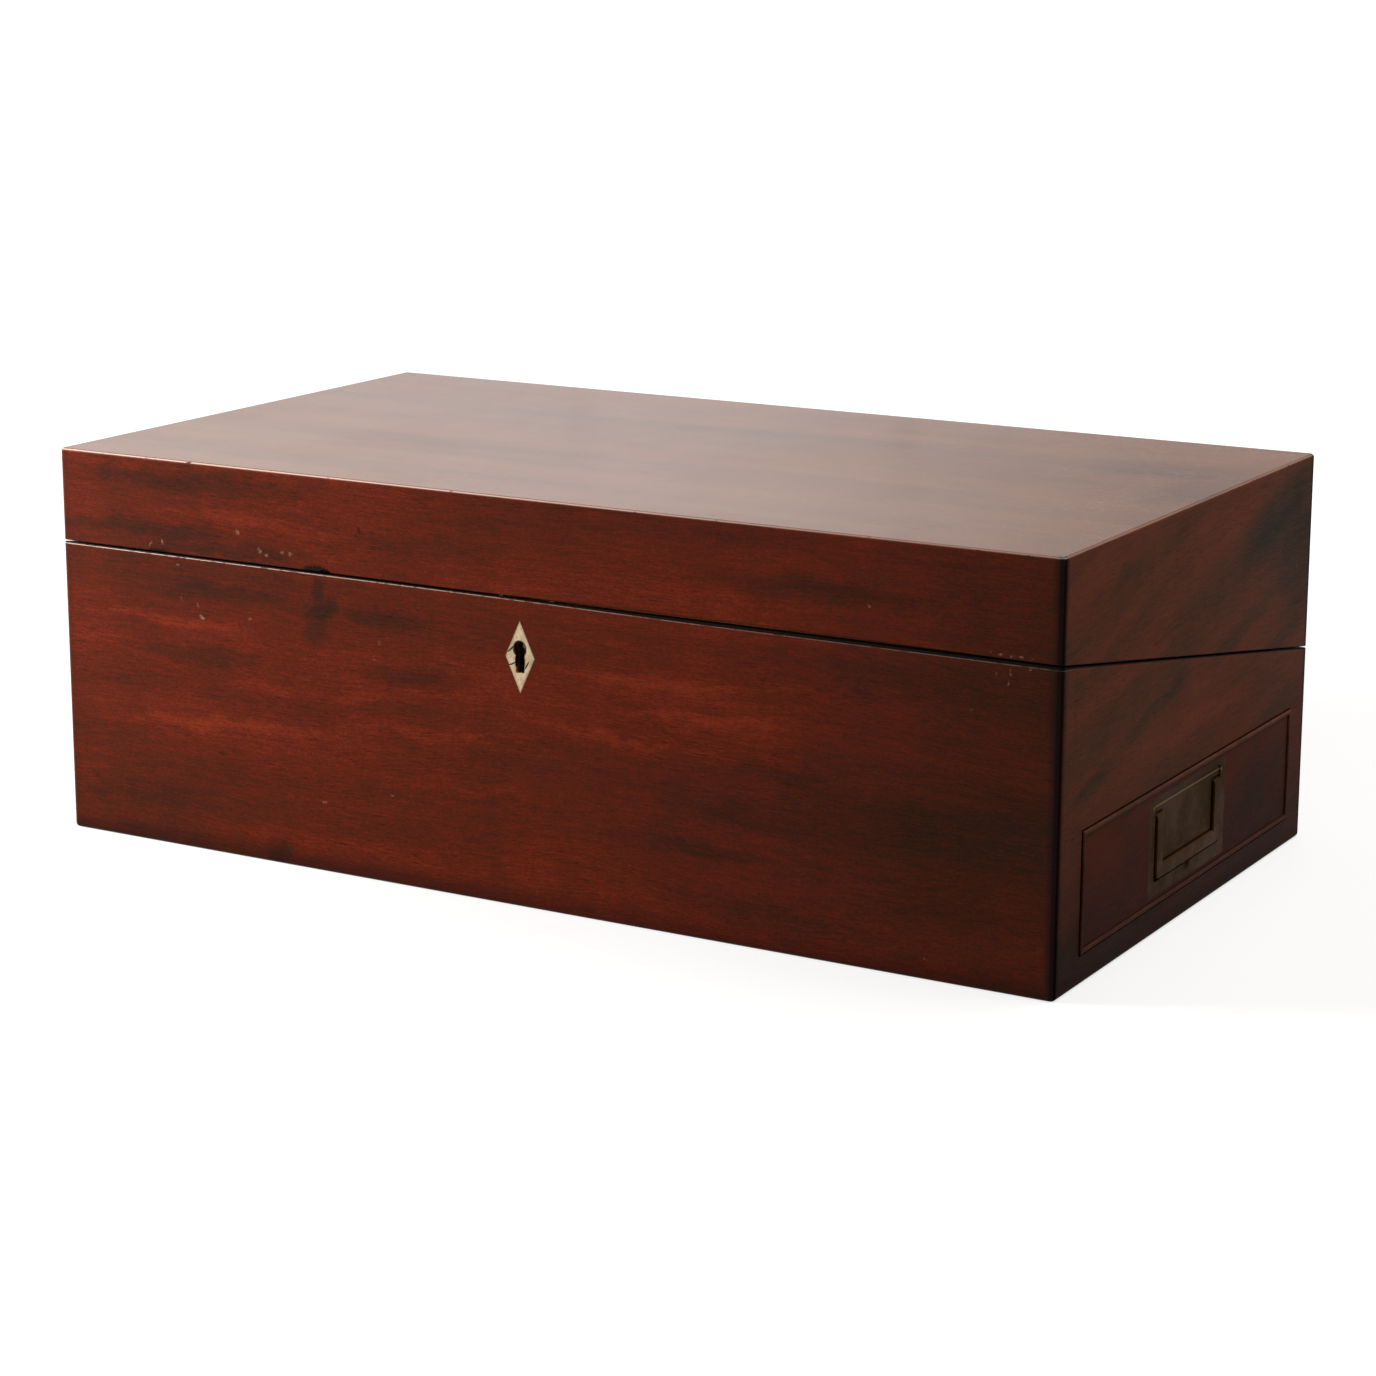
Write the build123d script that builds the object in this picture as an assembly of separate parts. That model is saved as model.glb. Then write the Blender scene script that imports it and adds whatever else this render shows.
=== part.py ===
from build123d import *
import os
from math import atan2, cos, sin, tan

# A writing slope: a mahogany box that splits along a slope and opens flat as a desk.
# Millimetres.  The origin lies under the middle of the closed box, +Z is up, -Y is the lock
# side, +Y the hinge side and +X the drawer side.  Closed, the box is a plain block.

# ---- case
width = 500.0
depth = 278.0
height = 180.0
wall = 12.0
top_board = 10.0
split_front = 137.0        # height of the parting line on the lock side
parting_gap = 0.6
axis_offset = 0.15         # the hinge axis stands this far behind the back
corner_round = 2.5
top_arris = 1.5
foot_arris = 2.0           # the foot is worn rounder than the top
rim_arris = 0.5
chip_radius = 6.0          # a chip broken from the lid's lower front edge
chip_height = 1.3
chip_depth = 2.2
chip_x = -101.0
hollow_start = -25.0       # where the lid's lower front edge has shrunk away from the base
hollow_end = 237.0
hollow_rise = 1.1
hollow_depth = 1.8

# ---- floor, deck and drawer tunnel
floor_board = 12.5
deck_board = 6.0
deck_room = 18.5           # depth left for papers between the deck and the hinge axis
tunnel_front = 23.5        # case left standing on the lock side of the drawer
tunnel_back = 19.0

# ---- drawer
drawer_gap = 0.5
drawer_face = 14.0
drawer_board = 8.0
drawer_end_gap = 0.3
drawer_side_drop = 2.0     # the sides stand this far below the front's top
bottom_board = 5.0
bottom_lift = 4.0          # the bottom board above the sides' lower edge
bottom_groove = 4.0
bead = 2.6
bead_depth = 5.2
bead_proud = 0.8
stop_thickness = 5.0
stop_length = 60.0
stop_height = 20.0
tail_count = 3
tail_length = 8.0
tail_share = 0.62          # root width of a tail, of the pitch
tail_flare = 1.0           # how much wider a tail grows, on each side

# ---- flush handles
handle_y = -2.0
handle_drop = 0.2          # the plate sits this far below the middle of the drawer front
plate_width = 85.0
plate_margin = 4.25        # drawer front left above and below the plate
plate_thickness = 1.6
pan_width = 73.0
pan_margin = 4.25
pan_rise = 2.2             # the pan sits above the middle of the plate
pan_depth = 4.2
pan_wall = 1.2
pan_corner = 1.5
island_drop = 0.5          # the pad inside the bail lies this far below the plate's face
island_gap = 0.7
bail_side_gap = 1.0
bail_leg = 7.0
bail_bar = 6.0
bail_thickness = 4.5
bail_proud = 0.9
bail_foot_gap = 1.0
bail_corner = 3.0
bail_headroom = 8.5        # pan height that the bail leaves, from its lower edge to the pivot
bail_edge = 0.7
stub_radius = 1.2
stub_clearance = 0.05
thumb_radius = 7.0
thumb_depth = 1.1

# ---- pen compartment
pen_space = 50.0
partition_lip = 5.0
partition_ledge = 4.0
bay_width = 46.0
divider = 4.0
divider_drop = 6.0
tray_drop = 16.0           # the tray's top below the front of the parting line
tray_thickness = 14.0
tray_gap = 0.5
tray_scoop_radius = 24.0
tray_scoop_depth = 9.5
tray_end = 16.0
bearer = 6.0

# ---- inkwells
well_side = 40.0
well_room = 9.05           # from the cap's top to the parting line
well_corner = 3.0
well_shoulder = 2.5
well_floor = 7.0
well_bore = 13.0
neck_radius = 12.0
neck_bore = 9.0
neck_height = 8.0
cap_radius = 15.0
cap_side = 9.5
cap_dome = 4.5
cap_lift = 0.2
cap_clearance = 0.25
cap_groove = 0.8

# ---- writing flaps
flap_drop = 2.0            # the writing surface below the rim
flap_thickness = 6.0
flap_side_gap = 0.6
flap_hinge_gap = 0.8
flap_seat_gap = 0.3
flap_frame = 14.0
leather = 1.0
ledge = 6.0
tab_width = 16.0
tab_length = 26.0
tab_inset = 3.0
tab_thickness = 0.8
flap_hinge_x = 100.0
flap_hinge_length = 30.0
flap_barrel = 1.6
flap_pin = 0.8
flap_leaf = 1.0
flap_leaf_reach = 5.5
flap_knuckles = 3

# ---- main hinges
hinge_x = 160.0
hinge_length = 60.0
hinge_knuckles = 5
barrel = 2.6
hinge_pin = 1.1
leaf_thickness = 2.0
leaf_reach = 10.5
leaf_screw_reach = 6.8
leaf_screw_pitch = 20.0
knuckle_gap = 0.2
barrel_room = 0.3
pin_clearance = 0.05

# ---- lock and link plate
key_drop = 21.7            # the key below the front of the parting line
key_radius = 2.8
key_slot = 4.5
key_slot_drop = 11.1
escutcheon_width = 15.0
escutcheon_height = 32.2
escutcheon_drop = 4.1      # its middle below the key
escutcheon_thickness = 1.2
lock_plate_thickness = 1.2
lock_ear = 6.0             # the plate beyond each end of the lock case
lock_case_width = 52.0
lock_case_wall = 1.0
lock_web = 2.5             # wood left in front of the lock case
lock_drop = 36.0           # the lock's foot below the front of the parting line
selvedge = 2.0
selvedge_width = 10.0
staple_thickness = 2.0
staple_width = 5.0
staple_reach = 7.8
staple_eye_width = 2.4
staple_eye_top = 2.7
staple_eye_height = 3.5
staple_room = 0.8
bolt_travel = 5.5
bolt_thickness = 2.5
bolt_height = 8.0
bolt_room = 1.38           # from the bolt's top to the staples' feet
bolt_finger = 5.5
bolt_finger_width = 1.8
bolt_finger_height = 2.6
bolt_tip_gap = 1.0
bolt_stem = 4.0
bolt_end_gap = 0.5
talon_width = 12.0
talon_height = 3.0
stump_radius = 1.5
stump_room = 0.2
stump_shift_left = 3.0     # the stumps stand to the left of the two staples
stump_shift_right = 1.0
stump_rise = 4.7
key_pin_radius = 1.2
key_pin_length = 6.5

# ---- screws
screw_shank = 1.1
screw_head = 2.2
screw_length = 9.0
short_screw = 5.0
screw_cover = 0.2          # wood left behind the tips of the handle screws
slot_width = 0.6
slot_depth = 0.5

# ---- worked out from the sizes above
half_width = width / 2
half_depth = depth / 2
inner_x = half_width - wall
inner_y = half_depth - wall
axis_y = half_depth + axis_offset
axis_z = height / 2        # so that the open lid lies on the table and carries the slope on
slope_angle = atan2(split_front - axis_z, axis_y + half_depth)
slope = Plane(
    origin=(0, axis_y, axis_z),
    x_dir=(1, 0, 0),
    z_dir=(0, sin(slope_angle), cos(slope_angle)),
)
rim = parting_gap / 2
deck_top = axis_z - deck_room
tunnel_top = deck_top - deck_board
tunnel_y0 = -half_depth + tunnel_front
tunnel_y1 = half_depth - tunnel_back
partition_y0 = -inner_y + pen_space
partition_y1 = partition_y0 + partition_lip
partition_y2 = partition_y1 + partition_ledge
flap_under = flap_drop + flap_thickness
flap_x = inner_x - flap_side_gap
flap_rear = inner_y - flap_hinge_gap
flap_axis_y = inner_y - flap_hinge_gap / 2
divider_x = inner_x - bay_width - divider
well_x = inner_x - bay_width / 2
well_y = -inner_y + pen_space / 2
tray_top = split_front - tray_drop
handle_z = (floor_board + tunnel_top) / 2 - handle_drop
plate_height = tunnel_top - floor_board - 2 * drawer_gap - 2 * plate_margin
pan_height = plate_height - 2 * pan_margin
handle_screw = wall - pan_depth - screw_cover
bail_width = pan_width - 2 * bail_side_gap
bail_drop = pan_height - bail_headroom
key_z = split_front - key_drop
escutcheon_z = key_z - escutcheon_drop
lock_foot = split_front - lock_drop
lock_front = -half_depth + lock_web
lock_plate_width = lock_case_width + 2 * lock_ear
bolt_y = (lock_front + lock_case_wall - inner_y - lock_plate_thickness) / 2
bolt_left = -lock_case_width / 2 + lock_case_wall + bolt_end_gap
staple_x = -bolt_left - bolt_stem - bolt_finger - bolt_tip_gap - staple_thickness / 2
stump_places = (-staple_x - stump_shift_left, staple_x - stump_shift_right)


def slope_height(y, lift=0.0):
    """Height of the plane that lies lift above the slope, at depth y."""
    return axis_z + (axis_y - y) * tan(slope_angle) + lift / cos(slope_angle)


def slope_reach(y, lift=0.0):
    """Distance up the slope from the hinge axis to depth y."""
    return (axis_y - y + lift * sin(slope_angle)) / cos(slope_angle)


bolt_foot = slope_height(bolt_y, -staple_reach) - bolt_room - bolt_height
well_height = slope_height(well_y) - well_room - cap_dome - cap_side - cap_lift - deck_top


def block(x0, x1, y0, y1, z0, z1):
    """Square block between two corners."""
    middle = Pos((x0 + x1) / 2, (y0 + y1) / 2, (z0 + z1) / 2)
    return middle * Box(abs(x1 - x0), abs(y1 - y0), abs(z1 - z0))


def slope_block(x0, x1, reach0, reach1, lift0, lift1):
    """Square block that lies along the slope, measured from the hinge axis."""
    middle = Pos((x0 + x1) / 2, -(reach0 + reach1) / 2, (lift0 + lift1) / 2)
    return slope * middle * Box(abs(x1 - x0), abs(reach1 - reach0), abs(lift1 - lift0))


def side_profile(x0, x1, points):
    """Outline of (y, z) points drawn across the box, from x0 to x1."""
    outline = Plane.YZ.offset(x0) * make_face(Polyline(*points, close=True))
    return extrude(outline, x1 - x0)


def sloped_board(x0, x1, y0, y1, lift0, lift1):
    """Board along the slope between two lifts, with upright ends."""
    corners = [(y0, lift0), (y1, lift0), (y1, lift1), (y0, lift1)]
    return side_profile(x0, x1, [(y, slope_height(y, lift)) for y, lift in corners])


def upright_board(x0, x1, y0, y1, foot, lift):
    """Board that stands at a level foot and ends along the slope."""
    top0 = slope_height(y0, lift)
    top1 = slope_height(y1, lift)
    return side_profile(x0, x1, [(y0, foot), (y1, foot), (y1, top1), (y0, top0)])


def bar_along_x(radius, x0, x1, y, z):
    """Round bar from x0 to x1."""
    return Pos((x0 + x1) / 2, y, z) * Rot(0, 90, 0) * Cylinder(radius, x1 - x0)


def screw_blank(length):
    """Countersunk wood screw, its head level with the XY plane."""
    head = screw_head - screw_shank
    cone = Pos(0, 0, -head / 2) * Cone(screw_shank, screw_head, head)
    shank = Pos(0, 0, -length / 2) * Cylinder(screw_shank, length)
    return cone + shank


def screw(length):
    """The screw with its driving slot."""
    slot = Pos(0, 0, -slot_depth / 2) * Box(3 * screw_head, slot_width, slot_depth)
    return screw_blank(length) - slot


def cut_all(solid, tools):
    """The solid with every tool taken out of it."""
    for tool in tools:
        solid = solid - tool
    return solid


def join_all(solids):
    """One solid made of several that meet."""
    whole = solids[0]
    for solid in solids[1:]:
        whole = whole + solid
    return whole


# ---------------------------------------------------------------- case and lid boards

def closed_box():
    """The whole outside of the closed box, with its softened edges."""
    box = Pos(0, 0, height / 2) * Box(width, depth, height)
    box = fillet(box.edges().filter_by(Axis.Z), corner_round)
    box = fillet(box.faces().sort_by(Axis.Z)[-1].edges(), top_arris)
    return fillet(box.faces().sort_by(Axis.Z)[0].edges(), foot_arris)


def soften_rim(half, lift_sign):
    """Round the sawn edge that runs round one half of the box."""
    normal = slope.z_dir * -lift_sign
    rim_face = half.faces().filter_by(lambda f: f.normal_at().dot(normal) > 1 - 1e-6)[0]
    return fillet(rim_face.edges(), rim_arris)


def sawn_halves():
    """The box sawn along the slope into its base and its lid."""
    whole = closed_box()
    under = upright_board(-width, width, -depth, depth, -height, -rim)
    over = side_profile(-width, width, [
        (-depth, slope_height(-depth, rim)),
        (depth, slope_height(depth, rim)),
        (depth, 2 * height),
        (-depth, 2 * height),
    ])
    return soften_rim(whole & under, -1), soften_rim(whole & over, 1)


def mitred_prisms():
    """Upright prisms of the four walls, mitred where they meet."""
    outer = [(-half_width, -half_depth), (half_width, -half_depth),
             (half_width, half_depth), (-half_width, half_depth)]
    inner = [(-inner_x, -inner_y), (inner_x, -inner_y), (inner_x, inner_y), (-inner_x, inner_y)]
    prisms = {}
    for i, name in enumerate(("front", "right", "back", "left")):
        j = (i + 1) % 4
        outline = make_face(Polyline(outer[i], outer[j], inner[j], inner[i], close=True))
        prisms[name] = extrude(outline, height)
    return prisms


def top_wedge():
    """The lid's top board, mitred down to the walls all round."""
    under = Plane.XY.offset(height - top_board) * Rectangle(2 * inner_x, 2 * inner_y)
    over = Plane.XY.offset(height) * Rectangle(width, depth)
    return loft([under, over])


def lid_chip():
    """The chip missing from the lid's lower front edge."""
    z = slope_height(-half_depth, rim) + chip_height - chip_radius
    middle = Pos(chip_x, -half_depth, z)
    return middle * Rot(90, 0, 0) * Cylinder(chip_radius, 2 * chip_depth)


def lid_hollow():
    """What the lid's lower front edge has lost: a long shallow arc."""
    z = slope_height(-half_depth, rim)
    foot = z - hollow_depth
    middle = (hollow_start + hollow_end) / 2
    arc = ThreePointArc((hollow_end, z), (middle, z + hollow_rise), (hollow_start, z))
    sides = Polyline((hollow_start, z), (hollow_start, foot), (hollow_end, foot), (hollow_end, z))
    outline = Plane.XZ.offset(half_depth - hollow_depth) * make_face([arc, sides])
    return extrude(outline, 2 * hollow_depth)


# ---------------------------------------------------------------- main hinges

def knuckle_spans(centre, length, count, mine):
    """Start and end of every knuckle of one leaf; mine is 0 for the outer leaf."""
    pitch = length / count
    start = centre - length / 2
    spans = []
    for i in range(mine, count, 2):
        spans.append((start + i * pitch + knuckle_gap / 2, start + (i + 1) * pitch - knuckle_gap / 2))
    return spans


def main_leaf(centre, side):
    """One leaf of a main hinge with its knuckles: side -1 is the base, +1 the lid."""
    mine = 0 if side < 0 else 1
    x0 = centre - hinge_length / 2
    x1 = centre + hinge_length / 2
    leaf = slope_block(x0, x1, 0, leaf_reach, side * rim, side * (rim + leaf_thickness))
    for a, b in knuckle_spans(centre, hinge_length, hinge_knuckles, 1 - mine):
        room = bar_along_x(barrel + barrel_room, a - knuckle_gap, b + knuckle_gap, axis_y, axis_z)
        leaf = leaf - room
    knuckles = knuckle_spans(centre, hinge_length, hinge_knuckles, mine)
    leaf = join_all([leaf] + [bar_along_x(barrel, a, b, axis_y, axis_z) for a, b in knuckles])
    bore = hinge_pin if side < 0 else hinge_pin + pin_clearance
    leaf = leaf - bar_along_x(bore, x0, x1, axis_y, axis_z)
    return cut_all(leaf, main_leaf_screws(centre, side, screw_blank))


def main_leaf_screws(centre, side, make):
    """The three screws of a leaf, heads level with the rim."""
    turn = Rot(0, 0, 0) if side < 0 else Rot(180, 0, 0)
    screws = []
    for i in (-1, 0, 1):
        place = Pos(centre + i * leaf_screw_pitch, -leaf_screw_reach, side * rim)
        screws.append(slope * place * turn * make(screw_length))
    return screws


def main_hinge_cuts(side):
    """What the hinges need cut out of one back wall."""
    cuts = []
    for centre in (-hinge_x, hinge_x):
        x0 = centre - hinge_length / 2
        x1 = centre + hinge_length / 2
        cuts.append(slope_block(x0, x1, 0, leaf_reach, side * rim, side * (rim + leaf_thickness)))
        cuts.append(bar_along_x(barrel + barrel_room, x0 - knuckle_gap, x1 + knuckle_gap, axis_y, axis_z))
        cuts = cuts + main_leaf_screws(centre, side, screw_blank)
    return cuts


def main_hinge_pin(centre):
    """The steel pin that a main hinge turns on."""
    return bar_along_x(hinge_pin, centre - hinge_length / 2, centre + hinge_length / 2, axis_y, axis_z)


# ---------------------------------------------------------------- flaps and their hinges

def flap_axis_z(side):
    """Height of a flap's hinge pin, level with its writing surface."""
    return slope_height(flap_axis_y, side * flap_drop)


def flap_leaf_block(centre, side, y0, y1):
    """Plate of a flap hinge, upright between the flap's edge and the wall."""
    z = flap_axis_z(side)
    x0 = centre - flap_hinge_length / 2
    x1 = centre + flap_hinge_length / 2
    return block(x0, x1, y0, y1, z, z + side * flap_leaf_reach)


def flap_barrel_room(centre, side):
    """Round housing for a flap hinge's barrel."""
    x0 = centre - flap_hinge_length / 2 - knuckle_gap
    x1 = centre + flap_hinge_length / 2 + knuckle_gap
    return bar_along_x(flap_barrel + barrel_room, x0, x1, flap_axis_y, flap_axis_z(side))


def flap_hinge_half(centre, side, on_wall):
    """One leaf of a flap hinge: the wall's has the outer knuckles."""
    y0 = inner_y if on_wall else flap_rear - flap_leaf
    leaf = flap_leaf_block(centre, side, y0, y0 + flap_leaf)
    mine = 0 if on_wall else 1
    z = flap_axis_z(side)
    for a, b in knuckle_spans(centre, flap_hinge_length, flap_knuckles, 1 - mine):
        leaf = leaf - bar_along_x(flap_barrel + barrel_room, a - knuckle_gap, b + knuckle_gap, flap_axis_y, z)
    for a, b in knuckle_spans(centre, flap_hinge_length, flap_knuckles, mine):
        leaf = leaf + bar_along_x(flap_barrel, a, b, flap_axis_y, z)
    bore = flap_pin if on_wall else flap_pin + pin_clearance
    x0 = centre - flap_hinge_length / 2
    x1 = centre + flap_hinge_length / 2
    return leaf - bar_along_x(bore, x0, x1, flap_axis_y, z)


def flap_hinge_pin(centre, side):
    """The pin of a flap hinge."""
    x0 = centre - flap_hinge_length / 2
    x1 = centre + flap_hinge_length / 2
    return bar_along_x(flap_pin, x0, x1, flap_axis_y, flap_axis_z(side))


def flap_wall_cuts(side):
    """What the flap hinges need cut out of one back wall."""
    cuts = []
    for centre in (-flap_hinge_x, flap_hinge_x):
        cuts.append(flap_leaf_block(centre, side, inner_y, inner_y + flap_leaf))
        cuts.append(flap_barrel_room(centre, side))
    return cuts


def flap_pieces(side, flap_front, prefix):
    """Board, leather, pull tab and hinge leaves of one flap: side -1 base, +1 lid."""
    board = sloped_board(-flap_x, flap_x, flap_front, flap_rear, side * flap_drop, side * flap_under)
    panel = sloped_board(
        -flap_x + flap_frame, flap_x - flap_frame, flap_front + flap_frame, flap_rear - flap_frame,
        side * flap_drop, side * (flap_drop + leather))
    board = board - panel
    leaves = []
    for centre in (-flap_hinge_x, flap_hinge_x):
        board = board - flap_leaf_block(centre, side, flap_rear - flap_leaf, flap_rear)
        board = board - flap_barrel_room(centre, side)
        leaves.append(flap_hinge_half(centre, side, False))
    tab_y = flap_front + tab_inset
    tab = sloped_board(
        -tab_width / 2, tab_width / 2, tab_y, tab_y + tab_length,
        side * (flap_drop - tab_thickness), side * flap_drop)
    return {
        prefix + "_flap_board": board,
        prefix + "_flap_leather": panel,
        prefix + "_flap_tab": tab,
        prefix + "_flap_hinge_leaves": Compound(leaves),
    }


def square_edge():
    """What comes off the lower flap, so that it swings out past the lid's leaning front."""
    reach = slope_reach(-inner_y) - flap_side_gap
    return slope_block(-inner_x, inner_x, reach, reach + wall, 0, flap_under + ledge)


def flap_ledges(side, y_front):
    """Strips under a flap's edges, glued to the walls of its half."""
    top = side * (flap_under + flap_seat_gap)
    foot = side * (flap_under + flap_seat_gap + ledge)
    strips = []
    for x0 in (-inner_x, inner_x - ledge):
        strips.append(sloped_board(x0, x0 + ledge, y_front, inner_y, top, foot))
    across = (-inner_x + ledge, inner_x - ledge)
    strips.append(sloped_board(*across, inner_y - ledge, inner_y, top, foot))
    if side > 0:
        strips.append(sloped_board(*across, y_front, y_front + ledge, top, foot))
    return Compound(strips)


# ---------------------------------------------------------------- lock and link plate

def keyhole(y0, y1):
    """Round keyhole with its slot below, cut along Y."""
    turn = Pos(0, (y0 + y1) / 2, key_z) * Rot(90, 0, 0)
    slot = block(-key_slot / 2, key_slot / 2, y0, y1, key_z - key_slot_drop, key_z)
    return turn * Cylinder(key_radius, abs(y1 - y0)) + slot


def escutcheon_diamond():
    """The lozenge round the keyhole, level with the front."""
    half = escutcheon_width / 2
    tall = escutcheon_height / 2
    points = [(0, escutcheon_z - tall), (half, escutcheon_z), (0, escutcheon_z + tall), (-half, escutcheon_z)]
    outline = Plane.XZ.offset(half_depth - escutcheon_thickness) * make_face(Polyline(*points, close=True))
    return extrude(outline, escutcheon_thickness)


def staple_reach_up():
    """How far up the slope the staples stand: the middle of the lock case."""
    return slope_reach(bolt_y, -(staple_eye_top + staple_eye_height / 2))


def lock_case_body():
    """Outside of the case that is let into the front wall."""
    half = lock_case_width / 2
    return upright_board(-half, half, lock_front, -inner_y - lock_plate_thickness, lock_foot, -rim - selvedge)


def lock_plate_body():
    """The plate inside the box, and the selvedge on the rim, as one bent piece."""
    half = lock_plate_width / 2
    plate = upright_board(-half, half, -inner_y - lock_plate_thickness, -inner_y, lock_foot, -rim)
    edge = sloped_board(-half, half, -inner_y - selvedge_width, -inner_y, -rim - selvedge, -rim)
    return plate + edge


def lock_screw_places():
    """Two screws down through the selvedge and two through the plate."""
    x = (lock_plate_width + lock_case_width) / 4
    places = []
    for sign in (-1, 1):
        places.append(slope * Pos(sign * x, -staple_reach_up(), -rim))
        places.append(Pos(sign * x, -inner_y, lock_foot + bearer) * Rot(-90, 0, 0))
    return places


def lock_plate():
    """Plate and selvedge with the staples' two slots."""
    plate = lock_plate_body()
    mid = staple_reach_up()
    for x in (-staple_x, staple_x):
        half_x = staple_thickness / 2 + staple_room
        half_r = staple_width / 2 + staple_room
        plate = plate - slope_block(x - half_x, x + half_x, mid - half_r, mid + half_r, -staple_reach, 0)
    return cut_all(plate, [place * screw_blank(short_screw) for place in lock_screw_places()])


def lock_case():
    """Hollow case with the keyhole in its face and the stumps that guide the bolt."""
    half = lock_case_width / 2 - lock_case_wall
    y0 = lock_front + lock_case_wall
    y1 = -inner_y - lock_plate_thickness
    inside = upright_board(-half, half, y0, y1, lock_foot + lock_case_wall, 0)
    case = lock_case_body() - inside
    case = case - keyhole(lock_front, y0)
    for x in stump_places:
        stump = Pos(x, (y0 + y1) / 2, bolt_foot + stump_rise) * Rot(90, 0, 0)
        case = case + stump * Cylinder(stump_radius, y1 - y0)
    return case


def lock_key_pin():
    """The pin that a barrel key turns on."""
    middle = Pos(0, -inner_y - lock_plate_thickness - key_pin_length / 2, key_z)
    return middle * Rot(90, 0, 0) * Cylinder(key_pin_radius, key_pin_length)


def lock_bolt():
    """Sliding bolt, drawn back: a bar with two hooked fingers."""
    right = -bolt_left - bolt_travel
    y0 = bolt_y - bolt_thickness / 2
    y1 = bolt_y + bolt_thickness / 2
    bar = block(bolt_left, right, y0, y1, bolt_foot, bolt_foot + bolt_height)
    bar = bar - block(-talon_width / 2, talon_width / 2, y0, y1, bolt_foot, bolt_foot + talon_height)
    room = stump_radius + stump_room
    for x in stump_places:
        z = bolt_foot + stump_rise
        bar = bar - block(x - bolt_travel - room, x + room, y0, y1, z - room, z + room)
    mid = staple_reach_up()
    eye = -(staple_eye_top + staple_eye_height / 2)
    half_r = bolt_finger_width / 2
    half_h = bolt_finger_height / 2
    for x in (-staple_x, staple_x):
        tip = x - staple_thickness / 2 - bolt_tip_gap
        root = tip - bolt_finger
        finger = slope_block(root - bolt_stem, tip, mid - half_r, mid + half_r, eye - half_h, eye + half_h)
        stem_top = slope_height(bolt_y, eye)
        bar_top = bolt_foot + bolt_height
        stem = block(root - bolt_stem, root, bolt_y - half_r, bolt_y + half_r, bar_top, stem_top)
        bar = bar + stem + finger
    return bar


def link_plate():
    """Plate in the lid's rim whose two eyed staples drop into the lock."""
    half = lock_plate_width / 2
    plate = sloped_board(-half, half, -inner_y - selvedge_width, -inner_y, rim, rim + selvedge)
    mid = staple_reach_up()
    eye_foot = -(staple_eye_top + staple_eye_height)
    for x in (-staple_x, staple_x):
        x0 = x - staple_thickness / 2
        x1 = x + staple_thickness / 2
        staple = slope_block(x0, x1, mid - staple_width / 2, mid + staple_width / 2, -staple_reach, rim)
        half_eye = staple_eye_width / 2
        eye = slope_block(x0, x1, mid - half_eye, mid + half_eye, eye_foot, -staple_eye_top)
        plate = plate + (staple - eye)
    return cut_all(plate, [place * screw_blank(screw_length) for place in link_screw_places()])


def link_screw_places():
    """Two screws up through the link plate, like those of the hinges."""
    x = (lock_plate_width + lock_case_width) / 4
    return [slope * Pos(sign * x, -staple_reach_up(), rim) * Rot(180, 0, 0) for sign in (-1, 1)]


# ---------------------------------------------------------------- flush handles

def handle_plane(side):
    """Frame on the outside of a case end: x along the face, y up, z outwards."""
    return Plane(origin=(side * half_width, handle_y, handle_z), x_dir=(0, side, 0), z_dir=(side, 0, 0))


def handle_housing():
    """The room that a flush handle needs in the wood."""
    plate = Pos(0, 0, -plate_thickness / 2) * Box(plate_width, plate_height, plate_thickness)
    outside = pan_depth + pan_wall
    pan = Pos(0, pan_rise, -outside / 2)
    return plate + pan * Box(pan_width + 2 * pan_wall, pan_height + 2 * pan_wall, outside)


def pivot_place():
    """Middle of the bail's pivot line, in the handle's frame."""
    foot = pan_rise - pan_height / 2 + bail_foot_gap
    return foot + bail_drop, bail_proud - bail_thickness / 2


def handle_screw_places():
    """Two screws through the floor of the pan, under the bail's bar."""
    y = pan_rise - pan_height / 2 + bail_foot_gap + bail_bar / 2
    return [Pos(sign * pan_width / 4, y, -pan_depth) for sign in (-1, 1)]


def handle_island():
    """What fills the pan again: the pad inside the bail, and the pan above its legs."""
    pivot_y = pivot_place()[0]
    top = pan_rise + pan_height / 2
    foot = pivot_y - bail_drop + bail_bar + island_gap
    shoulder = pivot_y + bail_thickness / 2 + island_gap
    half = bail_width / 2 - bail_leg - island_gap
    pad = block(-half, half, foot, top, -pan_depth, -island_drop)
    return pad + block(-pan_width / 2, pan_width / 2, shoulder, top, -pan_depth, -island_drop)


def handle_screws(side, make):
    """The handle's screws, or their blanks, on one case end."""
    return [handle_plane(side) * place * make(handle_screw) for place in handle_screw_places()]


def handle_plate():
    """Flush plate with its pan, the pad in it, a thumb dish and pivot holes."""
    pan = extrude(RectangleRounded(pan_width, pan_height, pan_corner), pan_depth)
    plate = handle_housing() - Pos(0, pan_rise, -pan_depth) * pan + handle_island()
    y, z = pivot_place()
    hole = Cylinder(stub_radius + stub_clearance, plate_width)
    blind = Box(pan_width + 2 * pan_wall, plate_height, plate_height)
    blind = blind - Box(bail_width, plate_height, plate_height)
    plate = plate - ((Pos(0, y, z) * Rot(0, 90, 0) * hole) & blind)
    dish_y = pan_rise - pan_height / 2
    plate = plate - Pos(0, dish_y, thumb_radius - thumb_depth) * Sphere(thumb_radius)
    return cut_all(plate, [place * screw_blank(handle_screw) for place in handle_screw_places()])


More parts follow.
